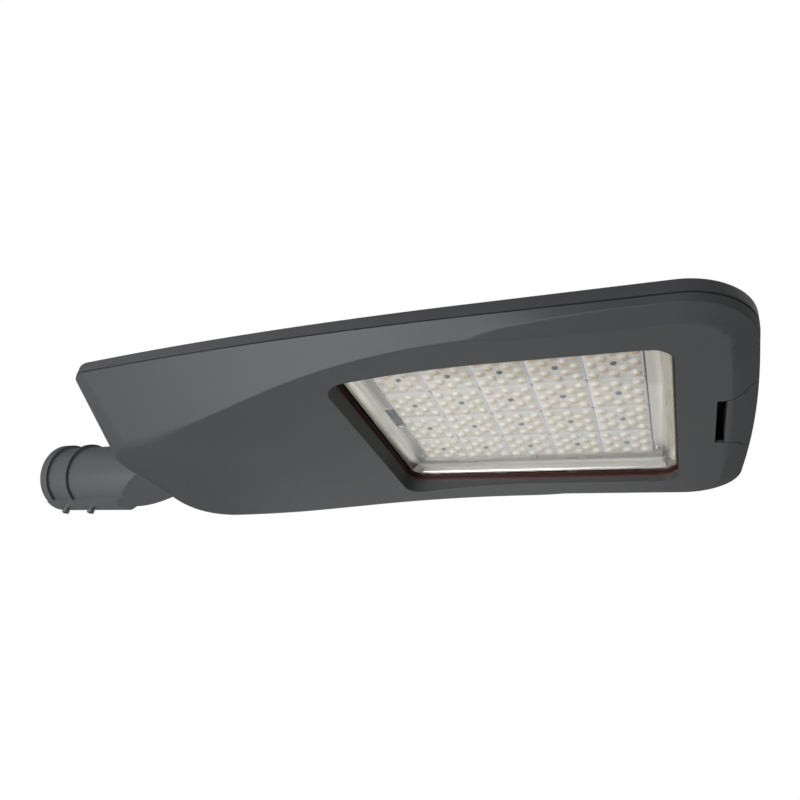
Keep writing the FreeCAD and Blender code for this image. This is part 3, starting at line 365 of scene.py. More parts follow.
def hull_rings():
    """Rings of the hull's outside, from its rim down the drafted wall, over the bevel and across
    the belly to the middle line. A wall line joins the seam's outline to one drawn in lower down,
    and the surface follows whichever of wall, bevel and underside lies highest."""
    draft = TIP_SIDE_SLOPE * DRAFT_DEPTH
    upper = outline(HULL_GAP)
    lower = outline(SIDE_SLOPE * DRAFT_DEPTH + HULL_GAP, tip_inset=draft + HULL_GAP,
                    rear_inset=REAR_SLOPE * DRAFT_DEPTH + HULL_GAP, tip_side=draft + HULL_GAP,
                    tip_radius=TIP_CORNER, rear_radius=REAR_LOW_CORNER)
    lean = lower - upper
    length = np.linalg.norm(lean, axis=1)
    x = upper[:, 0]
    depth = SEAM_Z - underside(x)
    # Each line runs on a little past the foot of its wall, but at the narrow rear not across the
    # middle. Its first stretch has finer steps, for the rounded edge of the rim.
    span = np.maximum(depth * length / DRAFT_DEPTH + FOOT_RUN, LEAST_RUN)
    span = np.where(x < REAR_ZONE_X, np.minimum(span, REAR_RUN * length), span)
    near = np.linspace(0.0, FINE_SHARE, 60)
    far = np.linspace(FINE_SHARE, 1.0, 340)[1:]
    share = np.concatenate([near, far])[None, :] * (span / length)[:, None]
    plan = upper[:, None, :] + lean[:, None, :] * share[:, :, None]
    wall = SEAM_Z - DRAFT_DEPTH * share
    bed = underside(plan[:, :, 0]) + HULL_GAP
    slant = bevel(plan[:, :, 0], plan[:, :, 1]) + HULL_GAP
    height = np.maximum(np.maximum(wall, bed), slant)
    lines = np.concatenate([plan, height[:, :, None]], axis=2)
    rim = np.linspace(0.0, 1.0, 12)[None, :-1, None]
    rim_plan = outline(RIM_WIDTH)[:, None, :] * (1.0 - rim) + upper[:, None, :] * rim
    rim_line = np.concatenate([rim_plan, np.full(rim_plan.shape[:2] + (1,), SEAM_Z - SEAM_EASE)], axis=2)
    lines[:, 0, 2] = SEAM_Z - SEAM_EASE
    lines = np.concatenate([rim_line, lines], axis=1)
    # The crease between wall and belly is crisp along the side and grows round at the heel.
    heel = np.clip((HEEL_START_X - x) / (HEEL_START_X - HEEL_FULL_X), 0.0, 1.0)
    heel *= np.clip((x - HEEL_CLOSE_X) / (HEEL_CORNER_X - HEEL_CLOSE_X), 0.0, 1.0)
    soft = CREASE_ROUND + HEEL_ROUND * heel * heel * (3.0 - 2.0 * heel)
    below = (SEAM_Z - RIM_BAND - lines[:, :, 2]) / RIM_FADE
    reach = RIM_ROUND + (soft[:, None] - RIM_ROUND) * np.clip(below, 0.0, 1.0)
    unit = np.diff(lines, axis=1)
    unit /= np.linalg.norm(unit, axis=2, keepdims=True) + 1e-9
    kink = np.zeros(lines.shape[:2])
    kink[:, 1:-1] = np.linalg.norm(np.diff(unit, axis=1), axis=2)
    rings = soften(lines, reach, EVEN_SHARE + spread(kink, lines, reach), HULL_RINGS)
    middle = np.stack([np.clip(rings[:, -1, 0], *KEEL_X), np.zeros(len(rings))], axis=1)
    t = np.linspace(0.0, 1.0, 9)[None, 1:, None]
    inside = rings[:, -1, None, :2] * (1.0 - t) + middle[:, None, :] * t
    floor = underside(inside[:, :, 0]) + HULL_GAP
    return np.concatenate([rings, np.concatenate([inside, floor[:, :, None]], axis=2)], axis=1)


def spread(kink, lines, reach):
    """How closely rings should lie: each of a line's four sharpest kinks is spread as a bell over
    its reach, and a kink past 0.6 counts no more than that."""
    step = np.linalg.norm(np.diff(lines, axis=1), axis=2)
    along = np.concatenate([np.zeros((len(lines), 1)), np.cumsum(step, axis=1)], axis=1)
    result = np.zeros(kink.shape)
    order = np.argsort(kink, axis=1)[:, -4:]
    for k in range(order.shape[1]):
        place = np.take_along_axis(along, order[:, k:k + 1], axis=1)
        size = np.take_along_axis(kink, order[:, k:k + 1], axis=1)
        wide = np.take_along_axis(reach, order[:, k:k + 1], axis=1)
        result += np.minimum(size, 0.6) * np.exp(-((along - place) / wide) ** 2) / wide
    return result


def blocks(name, corners):
    """Closed boxes between pairs of opposite corners, in one mesh."""
    unit = np.array([(x, y, z) for z in (0, 1) for y in (0, 1) for x in (0, 1)], float)
    sides = np.array([(0, 2, 3, 1), (4, 5, 7, 6), (0, 1, 5, 4), (2, 6, 7, 3), (0, 4, 6, 2), (1, 3, 7, 5)])
    low, high = (np.array([pair[k] for pair in corners], float)[:, None] for k in (0, 1))
    points = (low + (high - low) * unit).reshape(-1, 3)
    faces = (sides[None] + (np.arange(len(corners)) * 8)[:, None, None]).reshape(-1, 4)
    return add_piece(name, points, faces, powder_coat)


def ear_room(name, middles, half):
    """Boxes round the hinge ears behind the body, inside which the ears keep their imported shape."""
    return blocks(name, [((EAR_X[0], y - half, EAR_Z[0]), (EAR_X[1], y + half, EAR_Z[1])) for y in middles])


def join_into(piece, other):
    """Moves the mesh of one object into another's."""
    work = bmesh.new()
    work.from_mesh(piece.data)
    work.from_mesh(other.data)
    work.to_mesh(piece.data)
    work.free()
    bpy.data.objects.remove(other)


def finish_mesh(piece):
    """Keeps one finish on a cut piece, shades it smooth and weighs its normals by face area, so
    that flat faces stay flat beside narrow rounded edges."""
    material = piece.data.materials[0]
    piece.data.materials.clear()
    piece.data.materials.append(material)
    piece.data.polygons.foreach_set("material_index", np.zeros(len(piece.data.polygons), int))
    smooth(piece.data)
    even = piece.modifiers.new("even", "WEIGHTED_NORMAL")
    even.keep_sharp = True
    even.weight = 50


# Powder coat on cast aluminium: satin, with a faint orange peel that is drawn at 1.6 mm so that
# it shows, and slow drifts of shade where the coat is thicker.
powder_coat = grained("powder_coat_dark_grey", "#3b3d3e", "#424445", 1.6, (0.42, 0.54), 0.02, patch=90.0,
                      Specular_IOR_Level=0.32)
hull_form = closed_form("hull_form", hull_rings())
lower_shell = merged_copy("lower_housing", "lower_shell", powder_coat)
shape_by(lower_shell, hull_form)
hinge_cuts = ear_room("hinge_cuts", [side * HINGE_Y + step for side in (-1.0, 1.0)
                                     for step in (-LOWER_EAR_STEP, LOWER_EAR_STEP)], LOWER_EAR_HALF)
lower_ears = merged_copy("lower_housing", "lower_ears", powder_coat)
shape_by(lower_ears, hinge_cuts)
join_into(lower_shell, lower_ears)
finish_mesh(lower_shell)
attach(lower_shell, "housing")
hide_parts("lower_housing")


# Pole spigot: a cast socket with a flange at its mouth, one stiffening rib, a pad for the set
# screws and a tail cut obliquely where it lies in the hull. Coated like the hull.
PAD_ROUND = 41.5
PAD_HALF_WIDTH = 14.0
PAD_Z = -42.0
PAD_ROOT_Z = -30.0
PAD_SPAN = (-5.0, 190.0)
WEDGE = 2.0
CUT_X = 105.0
CUT_ANGLE = 33.7
CAST_EDGE = 0.9
EDGE_STEPS = 3
EDGE_ANGLE = 38.0
FLAT_ANGLE = 0.6


def round_form(radius, start, end):
    """A cylinder along the x axis, as a form to cut by."""
    work = bmesh.new()
    place = Matrix.Translation(((start + end) / 2.0 * MM, 0.0, 0.0))
    place @= Matrix.Rotation(math.pi / 2.0, 4, "Y")
    bmesh.ops.create_cone(work, cap_ends=True, segments=120, radius1=radius * MM, radius2=radius * MM,
                          depth=(end - start) * MM, matrix=place)
    piece = add_piece("round_form", [], [], spigot_coat)
    work.to_mesh(piece.data)
    work.free()
    return piece


def points_of(mesh):
    """The vertices of a mesh as rows of points in mm."""
    points = np.empty(len(mesh.vertices) * 3)
    mesh.vertices.foreach_get("co", points)
    return points.reshape(-1, 3) / MM


def pad_end():
    """The end of the screw pad, a wedge up to the tail's oblique cut: each front corner lies
    further on by its height over the tangent of the cut's angle."""
    piece = blocks("pad_end", [((CUT_X - WEDGE, -PAD_HALF_WIDTH, PAD_Z),
                                (CUT_X, PAD_HALF_WIDTH, PAD_ROOT_Z))])
    points = points_of(piece.data)
    front = points[:, 0] > CUT_X - WEDGE / 2.0
    points[front, 0] += (points[front, 2] - PAD_Z) / math.tan(math.radians(CUT_ANGLE))
    piece.data.vertices.foreach_set("co", (points * MM).ravel())
    return piece


def soften_edges(piece, width):
    """Joins the flat triangles of a welded piece and rounds its edges by a width in mm."""
    work = bmesh.new()
    work.from_mesh(piece.data)
    bmesh.ops.dissolve_limit(work, angle_limit=math.radians(FLAT_ANGLE), verts=work.verts, edges=work.edges)
    work.to_mesh(piece.data)
    work.free()
    edge = piece.modifiers.new("edge", "BEVEL")
    edge.width = width * MM
    edge.segments = EDGE_STEPS
    edge.limit_method = "ANGLE"
    edge.angle_limit = math.radians(EDGE_ANGLE)
    edge.use_clamp_overlap = True
    apply_modifiers(piece)
    finish_mesh(piece)


# The hull's powder coat, drawn a shade lighter and a little glossier on the spigot.
spigot_coat = grained("powder_coat_spigot_grey", "#464849", "#4e5051", 1.6, (0.4, 0.52), 0.02, patch=90.0,
                      Specular_IOR_Level=0.4)
spigot = merged_copy("pole_spigot", "spigot", spigot_coat)
pad_round = round_form(PAD_ROUND, *PAD_SPAN)
wedge = pad_end()
shape_by(spigot, wedge, "UNION")
shape_by(spigot, pad_round)
soften_edges(spigot, CAST_EDGE)
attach(spigot, "housing")
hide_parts("pole_spigot")

# Set screws, saddle and bolts of the spigot: stainless screws bear on the pole, and a zinc
# plated saddle with four hexagon bolts holds the tail down.
# Turned stainless steel is a neutral, bright metal; its tool marks are drawn at 0.5 mm to show.
stainless = grained("stainless_steel_turned", "#8f908f", "#a3a4a3", 0.5, (0.22, 0.36), 0.004, Metallic=1.0)
# Zinc plate is softer and whiter, and slightly cloudy over patches of 18 mm.
zinc_plate = grained("zinc_plated_steel", "#9a9c9e", "#b1b2b0", 3.0, (0.3, 0.45), 0.006, patch=18.0,
                     Metallic=1.0)


def coat(node, material):
    """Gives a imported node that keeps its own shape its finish."""
    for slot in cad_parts[node].material_slots:
        slot.material = material


coat("spigot_set_screws", stainless)
coat("spigot_clamp", zinc_plate)
coat("spigot_clamp_bolts", stainless)

# Grommets: black rubber bushings where the mains cable passes the socket's end wall and where
# the supply wires pass into the optical chamber.
# Moulded rubber is nearly black and dull.
black_rubber = grained("black_rubber_moulded", "#1b1b1c", "#232324", 1.2, (0.55, 0.7), 0.02)
coat("cable_grommet", black_rubber)
coat("wiring_grommet", black_rubber)

# Window: 5 mm tempered float glass on a red-brown silicone frame, held by eight sheet clips
# with pan head screws.
PAN_HEAD = 2.4
PAN_SHANK = 2.0
PAN_SOCKET = 0.42
SOCKET_LIP = 1.15
SOCKET_FLOOR = 0.45
HEAD_EDGE = 0.35
GLASS_MIRROR = 0.04
# Clear glass is a mirror that lets most of the view through: it mirrors 4 % of the light face on,
# and all of it at a grazing look, by the fifth power of the slant.
clear_glass, glass_tree, glass_shader = new_finish("float_glass_clear", Base_Color=linear("#f2f6f5"),
                                                   Metallic=1.0, Roughness=0.015)
facing = add_node(glass_tree, "LayerWeight", {"Blend": 0.5})
grazing = add_node(glass_tree, "Math", {0: facing.outputs["Facing"], 1: 5.0}, operation="POWER")
mirror = add_node(glass_tree, "MapRange", {"Value": grazing.outputs["Value"], "To Min": GLASS_MIRROR,
                                           "To Max": 1.0})
glass_tree.links.new(mirror.outputs["Result"], glass_shader.inputs["Alpha"])
# Silicone is matt, here with a deep red-brown body colour.
red_silicone = grained("silicone_red_brown", "#4a2622", "#562d28", 1.4, (0.5, 0.65), 0.02)
coat("window_glass", clear_glass)
coat("glass_gasket", red_silicone)
coat("glass_clips", zinc_plate)


def solids_of(node):
    """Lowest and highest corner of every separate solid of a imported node, in mm: corners that
    share an edge take the lower of their labels until none changes."""
    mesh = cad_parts[node].data
    points = points_of(mesh)
    edges = np.empty(len(mesh.edges) * 2, int)
    mesh.edges.foreach_get("vertices", edges)
    _, same = np.unique(np.round(points, 2), axis=0, return_inverse=True)
    same = same.ravel()
    pairs = same[edges.reshape(-1, 2)]
    label = np.arange(same.max() + 1)
    for _ in range(400):
        low = np.minimum(label[pairs[:, 0]], label[pairs[:, 1]])
        fresh = label.copy()
        np.minimum.at(fresh, pairs[:, 0], low)
        np.minimum.at(fresh, pairs[:, 1], low)
        fresh = fresh[fresh]
        if np.array_equal(fresh, label):
            break
        label = fresh
    owner = label[same]
    groups = [points[owner == k] for k in np.unique(owner)]
    return [(g.min(axis=0), g.max(axis=0)) for g in groups]


def turned(profile, angles, shape=1.0):
    """A surface of revolution: rows of radius and height turned through angles, each radius times
    an optional shape for its row and angle."""
    radius = profile[:, 0, None] * np.ones(len(angles)) * shape
    return np.stack([radius * np.cos(angles), radius * np.sin(angles),
                     profile[:, 1, None] * np.ones(len(angles))], axis=2)


def closed_rows(rows, columns):
    """Quads between rows of points that run right round."""
    index = np.arange(rows * columns).reshape(rows, columns)
    after = np.roll(index, -1, axis=1)
    return np.stack([index[:-1], after[:-1], after[1:], index[1:]], axis=2).reshape(-1, 4)


def repeated(name, shape, places, material):
    """One closed shape of points in rows, set down at many places in a single mesh."""
    rows, columns = shape.shape[:2]
    quads = closed_rows(rows, columns)
    places = np.asarray(places, float)
    points = (shape.reshape(1, -1, 3) + places[:, None, :]).reshape(-1, 3)
    faces = (quads[None] + (np.arange(len(places)) * rows * columns)[:, None, None]).reshape(-1, 4)
    piece = add_piece(name, points, faces, material)
    weld(piece.data, 0.01)
    smooth(piece.data, 40.0)
    return piece


def pan_screws(name, node, body, head=PAN_HEAD, shank=PAN_SHANK, material=stainless, sense=1.0):
    """Screws with a domed head and a six-sided socket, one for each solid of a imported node. The
    head's outline is a quarter ellipse. The socket's radius is that of a hexagon: the half width
    over the flats, over the cosine of the angle from the nearest flat's middle."""
    angles = np.arange(24) * math.pi / 12.0
    corners = solids_of(node)
    reach = corners[0][1] - corners[0][0]
    radius = reach[0] / 2.0
    length = reach[2] - head
    turn = np.linspace(0.0, math.pi / 2.0, 5)
    flat = radius * PAN_SOCKET
    lip = flat * SOCKET_LIP
    floor = head * SOCKET_FLOOR
    crown = np.stack([lip + (radius - lip) * np.sin(turn),
                      head * (HEAD_EDGE + (1.0 - HEAD_EDGE) * np.cos(turn))], axis=1)
    profile = np.array([(0.0, floor), (flat, floor), (flat, head)] + crown.tolist()
                       + [(radius, 0.0), (shank, 0.0), (shank, 0.6 - length), (shank - 0.5, -length),
                          (0.0, -length)])
    hexagon = math.cos(math.pi / 6.0) / np.cos((angles % (math.pi / 3.0)) - math.pi / 6.0)
    shape = np.ones((len(profile), len(angles)))
    shape[1:3] = hexagon
    solid = turned(profile, angles, shape) * (1.0, 1.0, sense)
    places = []
    for low, high in corners:
        seat = high[2] - head if sense > 0.0 else low[2] + head
        places.append(((low[0] + high[0]) / 2.0, (low[1] + high[1]) / 2.0, seat))
    piece = repeated(name, solid, places, material)
    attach(piece, body)
    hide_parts(node)


pan_screws("clip_screws", "glass_clip_screws", "housing")

# Seal: a dark silicone cord, pressed into the groove of the hull's rim. The lid's edge bears on
# it, and with the shadow in the seam it reads as a black line.
grey_silicone = grained("silicone_dark_grey", "#171718", "#1e1e1f", 1.4, (0.5, 0.62), 0.02)
coat("housing_gasket", grey_silicone)

# Gear tray: folded zinc plated sheet with the driver, the surge protector, the mains terminal
# and the cable clamp on it, each held by pan head screws.
# An extruded, anodised case has a soft metal sheen, drawn out along the extrusion.
driver_case = grained("aluminium_extruded_anodised", "#a4a6a8", "#b0b1b2", 1.2, (0.34, 0.46), 0.006,
                      stretch=(0.05, 1.0, 1.0), Metallic=0.9)
# Moulded polyamide is even and half matt, with a faint grain from the mould.
grey_nylon = grained("nylon_grey_moulded", "#3a3c3f", "#424447", 1.0, (0.5, 0.62), 0.012)
white_nylon = grained("polyamide_white_moulded", "#d0d0ca", "#dcdcd6", 1.0, (0.42, 0.55), 0.01)
coat("gear_tray", zinc_plate)
pan_screws("tray_fixings", "tray_screws", "housing")
coat("led_driver", driver_case)
pan_screws("driver_fixings", "driver_screws", "housing")
coat("surge_protector", grey_nylon)
coat("terminal_block", white_nylon)
coat("cable_clamp", grey_nylon)
pan_screws("clamp_fixings", "cable_clamp_screws", "housing")

# Pins: plain stainless rods, pressed into the hull's ears at the rear and into its bosses at the
# tip. The lid and the latch lever turn on them.
coat("hinge_pins", stainless)
coat("latch_pin", stainless)

# Upper housing: the other casting, a side strip under a shallow crown with cooling fins in its
# middle. Its rim and shoulder are rounded as the pattern maker leaves them.
LID_BASE_Z = 51.2
STRIP_TOP_Z = 62.8
CROWN = ((0.0, 0.0), (5.0, 3.0), (22.0, 8.5), (50.0, 13.0), (86.0, 16.0))
FIN_REAR_X = 440.0
FIN_FRONT_X = 716.0
FIN_HALF_WIDTH = 118.8
FIN_END_WALL = 3.2
FIN_WALL_Z = (63.4, 90.0)
FIN_OVERLAP = 0.3
EDGE_ROUND = 0.9
SHOULDER_ROUND = 1.6
CROWN_ROUND = 11.0
RIDGE_X = (215.0, 690.0)
CROWN_RINGS = 36
UPPER_EAR_HALF = 6.05


def crown_rings():
    """Rings of the lid's outside: up the side strip, over the shoulder and along the chords of the
    crown, whose corners are softened more and more towards the middle."""
    plans = [outline(HULL_GAP + inset) for inset, _ in CROWN]
    knots = [np.column_stack([plan, np.full(len(plan), LID_BASE_Z + SEAM_EASE)])
             for plan in (outline(RIM_WIDTH), plans[0])]
    knots += [np.column_stack([plan, np.full(len(plan), STRIP_TOP_Z + rise - HULL_GAP)])
              for plan, (_, rise) in zip(plans, CROWN)]
    top = knots[-1]
    middle = np.column_stack([np.clip(top[:, 0], *RIDGE_X), np.zeros(len(top)), top[:, 2]])
    knots.append(top * 0.6 + middle * 0.4)
    knots = np.stack(knots, axis=1)
    t = np.linspace(0.0, 1.0, 40)[None, None, :-1, None]
    lines = knots[:, :-1, None] * (1.0 - t) + knots[:, 1:, None] * t
    lines = np.concatenate([lines.reshape(len(knots), -1, 3), knots[:, -1:]], axis=1)
    # The rounding grows over the last 4 mm below the shoulder, and again from 3 to 11 mm above
    # it. Rings gather at the rim's edge and at the shoulder.
    rise = lines[:, :, 2] - STRIP_TOP_Z
    reach = EDGE_ROUND + SHOULDER_ROUND * np.clip((rise + 4.0) / 4.0, 0.0, 1.0)
    reach += CROWN_ROUND * np.clip((rise - 3.0) / 8.0, 0.0, 1.0)
    crowd = np.full(lines.shape[:2], EVEN_SHARE)
    crowd += 0.8 * np.exp(-((lines[:, :, 2] - LID_BASE_Z) / 1.2) ** 2)
    crowd += 0.5 * np.exp(-((lines[:, :, 2] - STRIP_TOP_Z - 0.5) / 2.0) ** 2)
    rings = soften(lines, reach, crowd, CROWN_RINGS)
    t = np.linspace(0.0, 1.0, 7)[None, 1:, None]
    return np.concatenate([rings, rings[:, -1:] * (1.0 - t) + middle[:, None] * t], axis=1)


crown_form = closed_form("crown_form", crown_rings())
# Cross walls close the channels between the fins at both ends, from the base up to the crown.
fin_ends = blocks("fin_ends", [((x, -FIN_HALF_WIDTH, FIN_WALL_Z[0]),
                                (x + FIN_END_WALL, FIN_HALF_WIDTH, FIN_WALL_Z[1]))
                               for x in (FIN_REAR_X - FIN_END_WALL + FIN_OVERLAP, FIN_FRONT_X - FIN_OVERLAP)])
upper_shell = merged_copy("upper_housing", "upper_shell", powder_coat)
shape_by(upper_shell, fin_ends, "UNION")
shape_by(upper_shell, crown_form)
lid_cuts = ear_room("lid_cuts", [-HINGE_Y, HINGE_Y], UPPER_EAR_HALF)
upper_ears = merged_copy("upper_housing", "upper_ears", powder_coat)
shape_by(upper_ears, lid_cuts)
join_into(upper_shell, upper_ears)
finish_mesh(upper_shell)
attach(upper_shell, "lid")
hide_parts("upper_housing")

# Light source: four metal core boards under white solder mask, with a phosphor coated chip
# over each lens.
# Solder mask is smooth and half glossy, a warm white that the clear plates take their tone from.
white_mask = grained("solder_mask_white", "#eeeade", "#f5f2e6", 1.0, (0.35, 0.5), 0.004)
# Phosphor in silicone is an opaque warm yellow with a soft gloss.
phosphor = grained("phosphor_silicone_yellow", "#c89a5c", "#d8ab6c", 0.8, (0.3, 0.4), 0.01)
coat("led_boards", white_mask)
coat("led_chips", phosphor)

# Lens plates: twenty clear acrylic mouldings, each with twelve domed lenses and rounded edges,
# and one dark screw through the middle.
MODULE = 50.0
PLATE_GAP = 0.06
PLATE_SKIN = 1.8
PLATE_EDGE = 0.5
PLATE_CORNER = 0.12
DOME_RADIUS = 5.3
DOME_HEIGHT = 3.0
DOME_TOP_RADIUS = 4.1
SKIRT_HEIGHT = 0.5
DOME_PITCH = (18.2, 17.0)
CHIP_IMAGE = 1.9
CHIP_BLUR = 1.8
EDGE_GLOW = 1.5
GLOW_BLUR = 0.5
PLATE_SCREW_HEAD = 1.2
PLATE_SCREW_SHANK = 1.4
# Moulded acrylic is clear. Its edges gather light, so they are drawn whiter than the body, by the
# distance to the nearest joint between two plates.
acrylic, acrylic_tree, acrylic_shader = new_finish("acrylic_clear_moulded", Roughness=0.12, IOR=1.49,
                                                   Transmission_Weight=0.45)
origin = add_node(acrylic_tree, "VectorMath", {0: add_node(acrylic_tree, "TexCoord").outputs["Object"],
                                               1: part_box("led_boards")[0]}, operation="SUBTRACT")
split = add_node(acrylic_tree, "SeparateXYZ", {0: origin.outputs["Vector"]})
to_joint = [add_node(acrylic_tree, "Math", {0: split.outputs[axis], 1: MODULE * MM / 2.0},
                     operation="PINGPONG").outputs["Value"] for axis in ("X", "Y")]
nearest = add_node(acrylic_tree, "Math", {0: to_joint[0], 1: to_joint[1]}, operation="MINIMUM")
edge_share = add_node(acrylic_tree, "MapRange", {"Value": nearest.outputs["Value"],
                                                 "From Min": EDGE_GLOW * MM,
                                                 "From Max": (EDGE_GLOW + GLOW_BLUR) * MM})
body_tint = add_node(acrylic_tree, "MixRGB", {"Fac": edge_share.outputs["Result"],
                                              "Color1": linear("#ffffff"), "Color2": linear("#f9f6ea")})
acrylic_tree.links.new(body_tint.outputs["Color"], acrylic_shader.inputs["Base Color"])
plates = solids_of("lens_plates")
plate_z = plates[0][0][2] + DOME_HEIGHT
plate_middles = [((low[0] + high[0]) / 2.0, (low[1] + high[1]) / 2.0, plate_z) for low, high in plates]


def plate_shape():
    """A square slab with rounded corners and edges. Each ring is a rounded square, whose sides are
    the cosine and sine of the angle to a small power, drawn in as its height leaves the side."""
    half = (MODULE - PLATE_GAP) / 2.0
    chamfer = 0.15
    turn = np.arange(32) * math.pi / 16.0 + math.pi / 32.0
    square = np.stack([np.cos(turn), np.sin(turn)], axis=1)
    square = np.sign(square) * np.abs(square) ** PLATE_CORNER
    rings = [(0.0, 0.0), (half - PLATE_EDGE, 0.0), (half - chamfer, chamfer), (half, PLATE_EDGE),
             (half, PLATE_SKIN), (0.0, PLATE_SKIN)]
    return np.stack([np.column_stack([square * r, np.full(32, z)]) for r, z in rings])


def dome_shape():
    """One lens: a low skirt, and inside it a dome whose radius falls as a cosine to the power 0.8
    while its height grows as a sine."""
    turn = np.linspace(0.0, math.pi / 2.0, 6)
    rise = DOME_HEIGHT - SKIRT_HEIGHT
    dome = np.stack([DOME_TOP_RADIUS * np.cos(turn) ** 0.8, -SKIRT_HEIGHT - rise * np.sin(turn)], axis=1)
    skirt = [(0.0, 0.2), (DOME_RADIUS, 0.2), (DOME_RADIUS, -0.1), (DOME_RADIUS - 0.6, -SKIRT_HEIGHT)]
    profile = np.concatenate([skirt, dome])
    profile[-1, 0] = 0.0
    return turned(profile, np.arange(16) * math.pi / 8.0)


def lens_finish(piece, places):
    """Clear acrylic over a phosphor chip: the lens magnifies the chip, and that image is painted into the
    lens's colour, warm in the middle. Each corner stores its distance in mm from the axis of its own lens."""
    apart = points_of(piece.data)[:, None, :2] - np.array(places)[None, :, :2]
    reach = np.hypot(apart[:, :, 0], apart[:, :, 1]).min(axis=1)
    piece.data.attributes.new("from_axis", "FLOAT", "POINT").data.foreach_set("value", reach)
    material, tree, shader = new_finish("acrylic_lens_over_phosphor", Roughness=0.12, IOR=1.49,
                                        Transmission_Weight=0.3, Coat_Weight=1.0, Coat_Roughness=0.04)
    away = add_node(tree, "Attribute", attribute_name="from_axis")
    share = add_node(tree, "MapRange", {"Value": away.outputs["Fac"], "From Min": CHIP_IMAGE,
                                        "From Max": CHIP_IMAGE + CHIP_BLUR})
    tint = add_node(tree, "MixRGB", {"Fac": share.outputs["Result"], "Color1": linear("#e0c499"),
                                     "Color2": linear("#fdfaf1")})
    tree.links.new(tint.outputs["Color"], shader.inputs["Base Color"])
    return material


lens_slabs = repeated("lens_slabs", plate_shape(), plate_middles, acrylic)
across, down = DOME_PITCH
lens_spots = [(x * across, y * down) for x in (-1, 0, 1) for y in (-1, 0, 1) if (x, y) != (0, 0)]
lens_spots += [(x * across / 2.0, y * down / 2.0) for x in (-1, 1) for y in (-1, 1)]
lens_places = [(mx + x, my + y, mz) for mx, my, mz in plate_middles for x, y in lens_spots]
lens_domes = repeated("lens_domes", dome_shape(), lens_places, acrylic)
lens_domes.data.materials.clear()
lens_domes.data.materials.append(lens_finish(lens_domes, lens_places))
for piece in (lens_slabs, lens_domes):
    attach(piece, "lid")
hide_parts("lens_plates")
# Black oxide on steel is a dark grey metal. It is drawn a lighter grey all over, as a painted sheen for the
# small highlights on the heads.
dark_steel = grained("steel_black_oxide", "#747677", "#828485", 0.6, (0.24, 0.38), 0.006, Metallic=0.8)
pan_screws("plate_fixings", "lens_plate_screws", "lid", PLATE_SCREW_HEAD, PLATE_SCREW_SHANK, dark_steel,
           sense=-1.0)

# Reflector: one pressing of polished, anodised aluminium sheet round the lenses. A flat ledge
# under the screws is folded down in a slope between two small bends, to a rim above the glass.
LEDGE_Z = 59.4
RIM_Z = 49.3
SHEET = 0.8
REFLECTOR_SIDE = 20.7
REAR_SHARE = 1.15
LEDGE_WIDTH = 7.0
CORNER_CUT = 9.0
REFLECTOR_GAP = 1.0
NOTCH_HALF = 20.0
NOTCH_DEPTH = 10.5
CHORD_START = 18.0
CHORD_END = 78.0
BEND_PULL = 0.6
UPPER_BEND = 0.12
LOWER_BEND = 0.1
# Polished, anodised sheet is a bright, faintly warm mirror that is blurred by the polish, whose
# marks are drawn 40 mm long so that they show.
polished_sheet = grained("aluminium_polished_anodised", "#d7d3c9", "#dfdbd1", 1.2, (0.26, 0.36), 0.0007,
                         patch=40.0, stretch=(0.03, 0.03, 1.0), Metallic=1.0)


def reflector_shell():
    """Rings of an eight-cornered outline that widens by an offset: level along the ledge, then
    down the chord of a quarter ellipse between two small bends, as a folded sheet runs, to the
    upright rim. Each bend is a quadratic curve pulled to one corner point. In the notch the first
    ring starts further out."""
    low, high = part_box("led_boards")
    low, high = np.array(low) / MM, np.array(high) / MM
    bends = np.radians([CHORD_START, CHORD_END])
    knee, foot = [np.array((LEDGE_WIDTH + (REFLECTOR_SIDE - LEDGE_WIDTH) * np.sin(bend),
                            RIM_Z + (LEDGE_Z - RIM_Z) * np.cos(bend))) for bend in bends]
    start = np.array((LEDGE_WIDTH, LEDGE_Z))
    end = np.array((REFLECTOR_SIDE, RIM_Z))
    t = np.linspace(0.0, 1.0, 6)[:, None]
    curves = ((start, start + (knee - start) * BEND_PULL, knee + (foot - knee) * UPPER_BEND),
              (foot + (knee - foot) * LOWER_BEND, foot, end))
    upper, lower = [(1.0 - t) ** 2 * a + 2.0 * t * (1.0 - t) * b + t ** 2 * c for a, b, c in curves]
    profile = np.concatenate([[(0.0, LEDGE_Z), (LEDGE_WIDTH / 2.0, LEDGE_Z)], upper, lower])
    offset, height = profile.T
    x0 = low[0] - REFLECTOR_GAP - offset * REAR_SHARE
    x1 = high[0] + REFLECTOR_GAP + offset
    y = MODULE * 2.0 + REFLECTOR_GAP + offset
    c = CORNER_CUT * offset / REFLECTOR_SIDE + 0.5
    n = np.full(len(offset), NOTCH_HALF)
    rings = np.array([(x0 + c, -y), (x1 - c, -y), (x1, c - y), (x1, y - c), (x1 - c, y), (x0 + c, y),
                      (x0, y - c), (x0, n + 0.01), (x0, n), (x0, -n), (x0, -n - 0.01), (x0, c - y)])
    rings = rings.transpose(2, 0, 1)
    points = np.concatenate([rings, np.repeat(height[:, None, None], rings.shape[1], axis=1)], axis=2)
    first = np.zeros(points.shape[1])
    first[8:10] = NOTCH_DEPTH / REAR_SHARE
    late = np.maximum(offset[:, None], first[None, :])
    for k in (8, 9):
        points[:, k, 0] = low[0] - REFLECTOR_GAP - late[:, k] * REAR_SHARE
        points[:, k, 2] = np.interp(late[:, k], offset, height)
    return points


shell = reflector_shell()
reflector = add_piece("reflector", shell.reshape(-1, 3), closed_rows(*shell.shape[:2]), polished_sheet)
weld(reflector.data, 0.005)
sheet = reflector.modifiers.new("sheet", "SOLIDIFY")
sheet.thickness = SHEET * MM
sheet.offset = 1.0
sheet.use_even_offset = True
apply_modifiers(reflector)
smooth(reflector.data, 25.0)
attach(reflector, "lid")
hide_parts("reflector_frame")
pan_screws("reflector_fixings", "reflector_screws", "lid", sense=-1.0)
coat("reflector_clip", stainless)

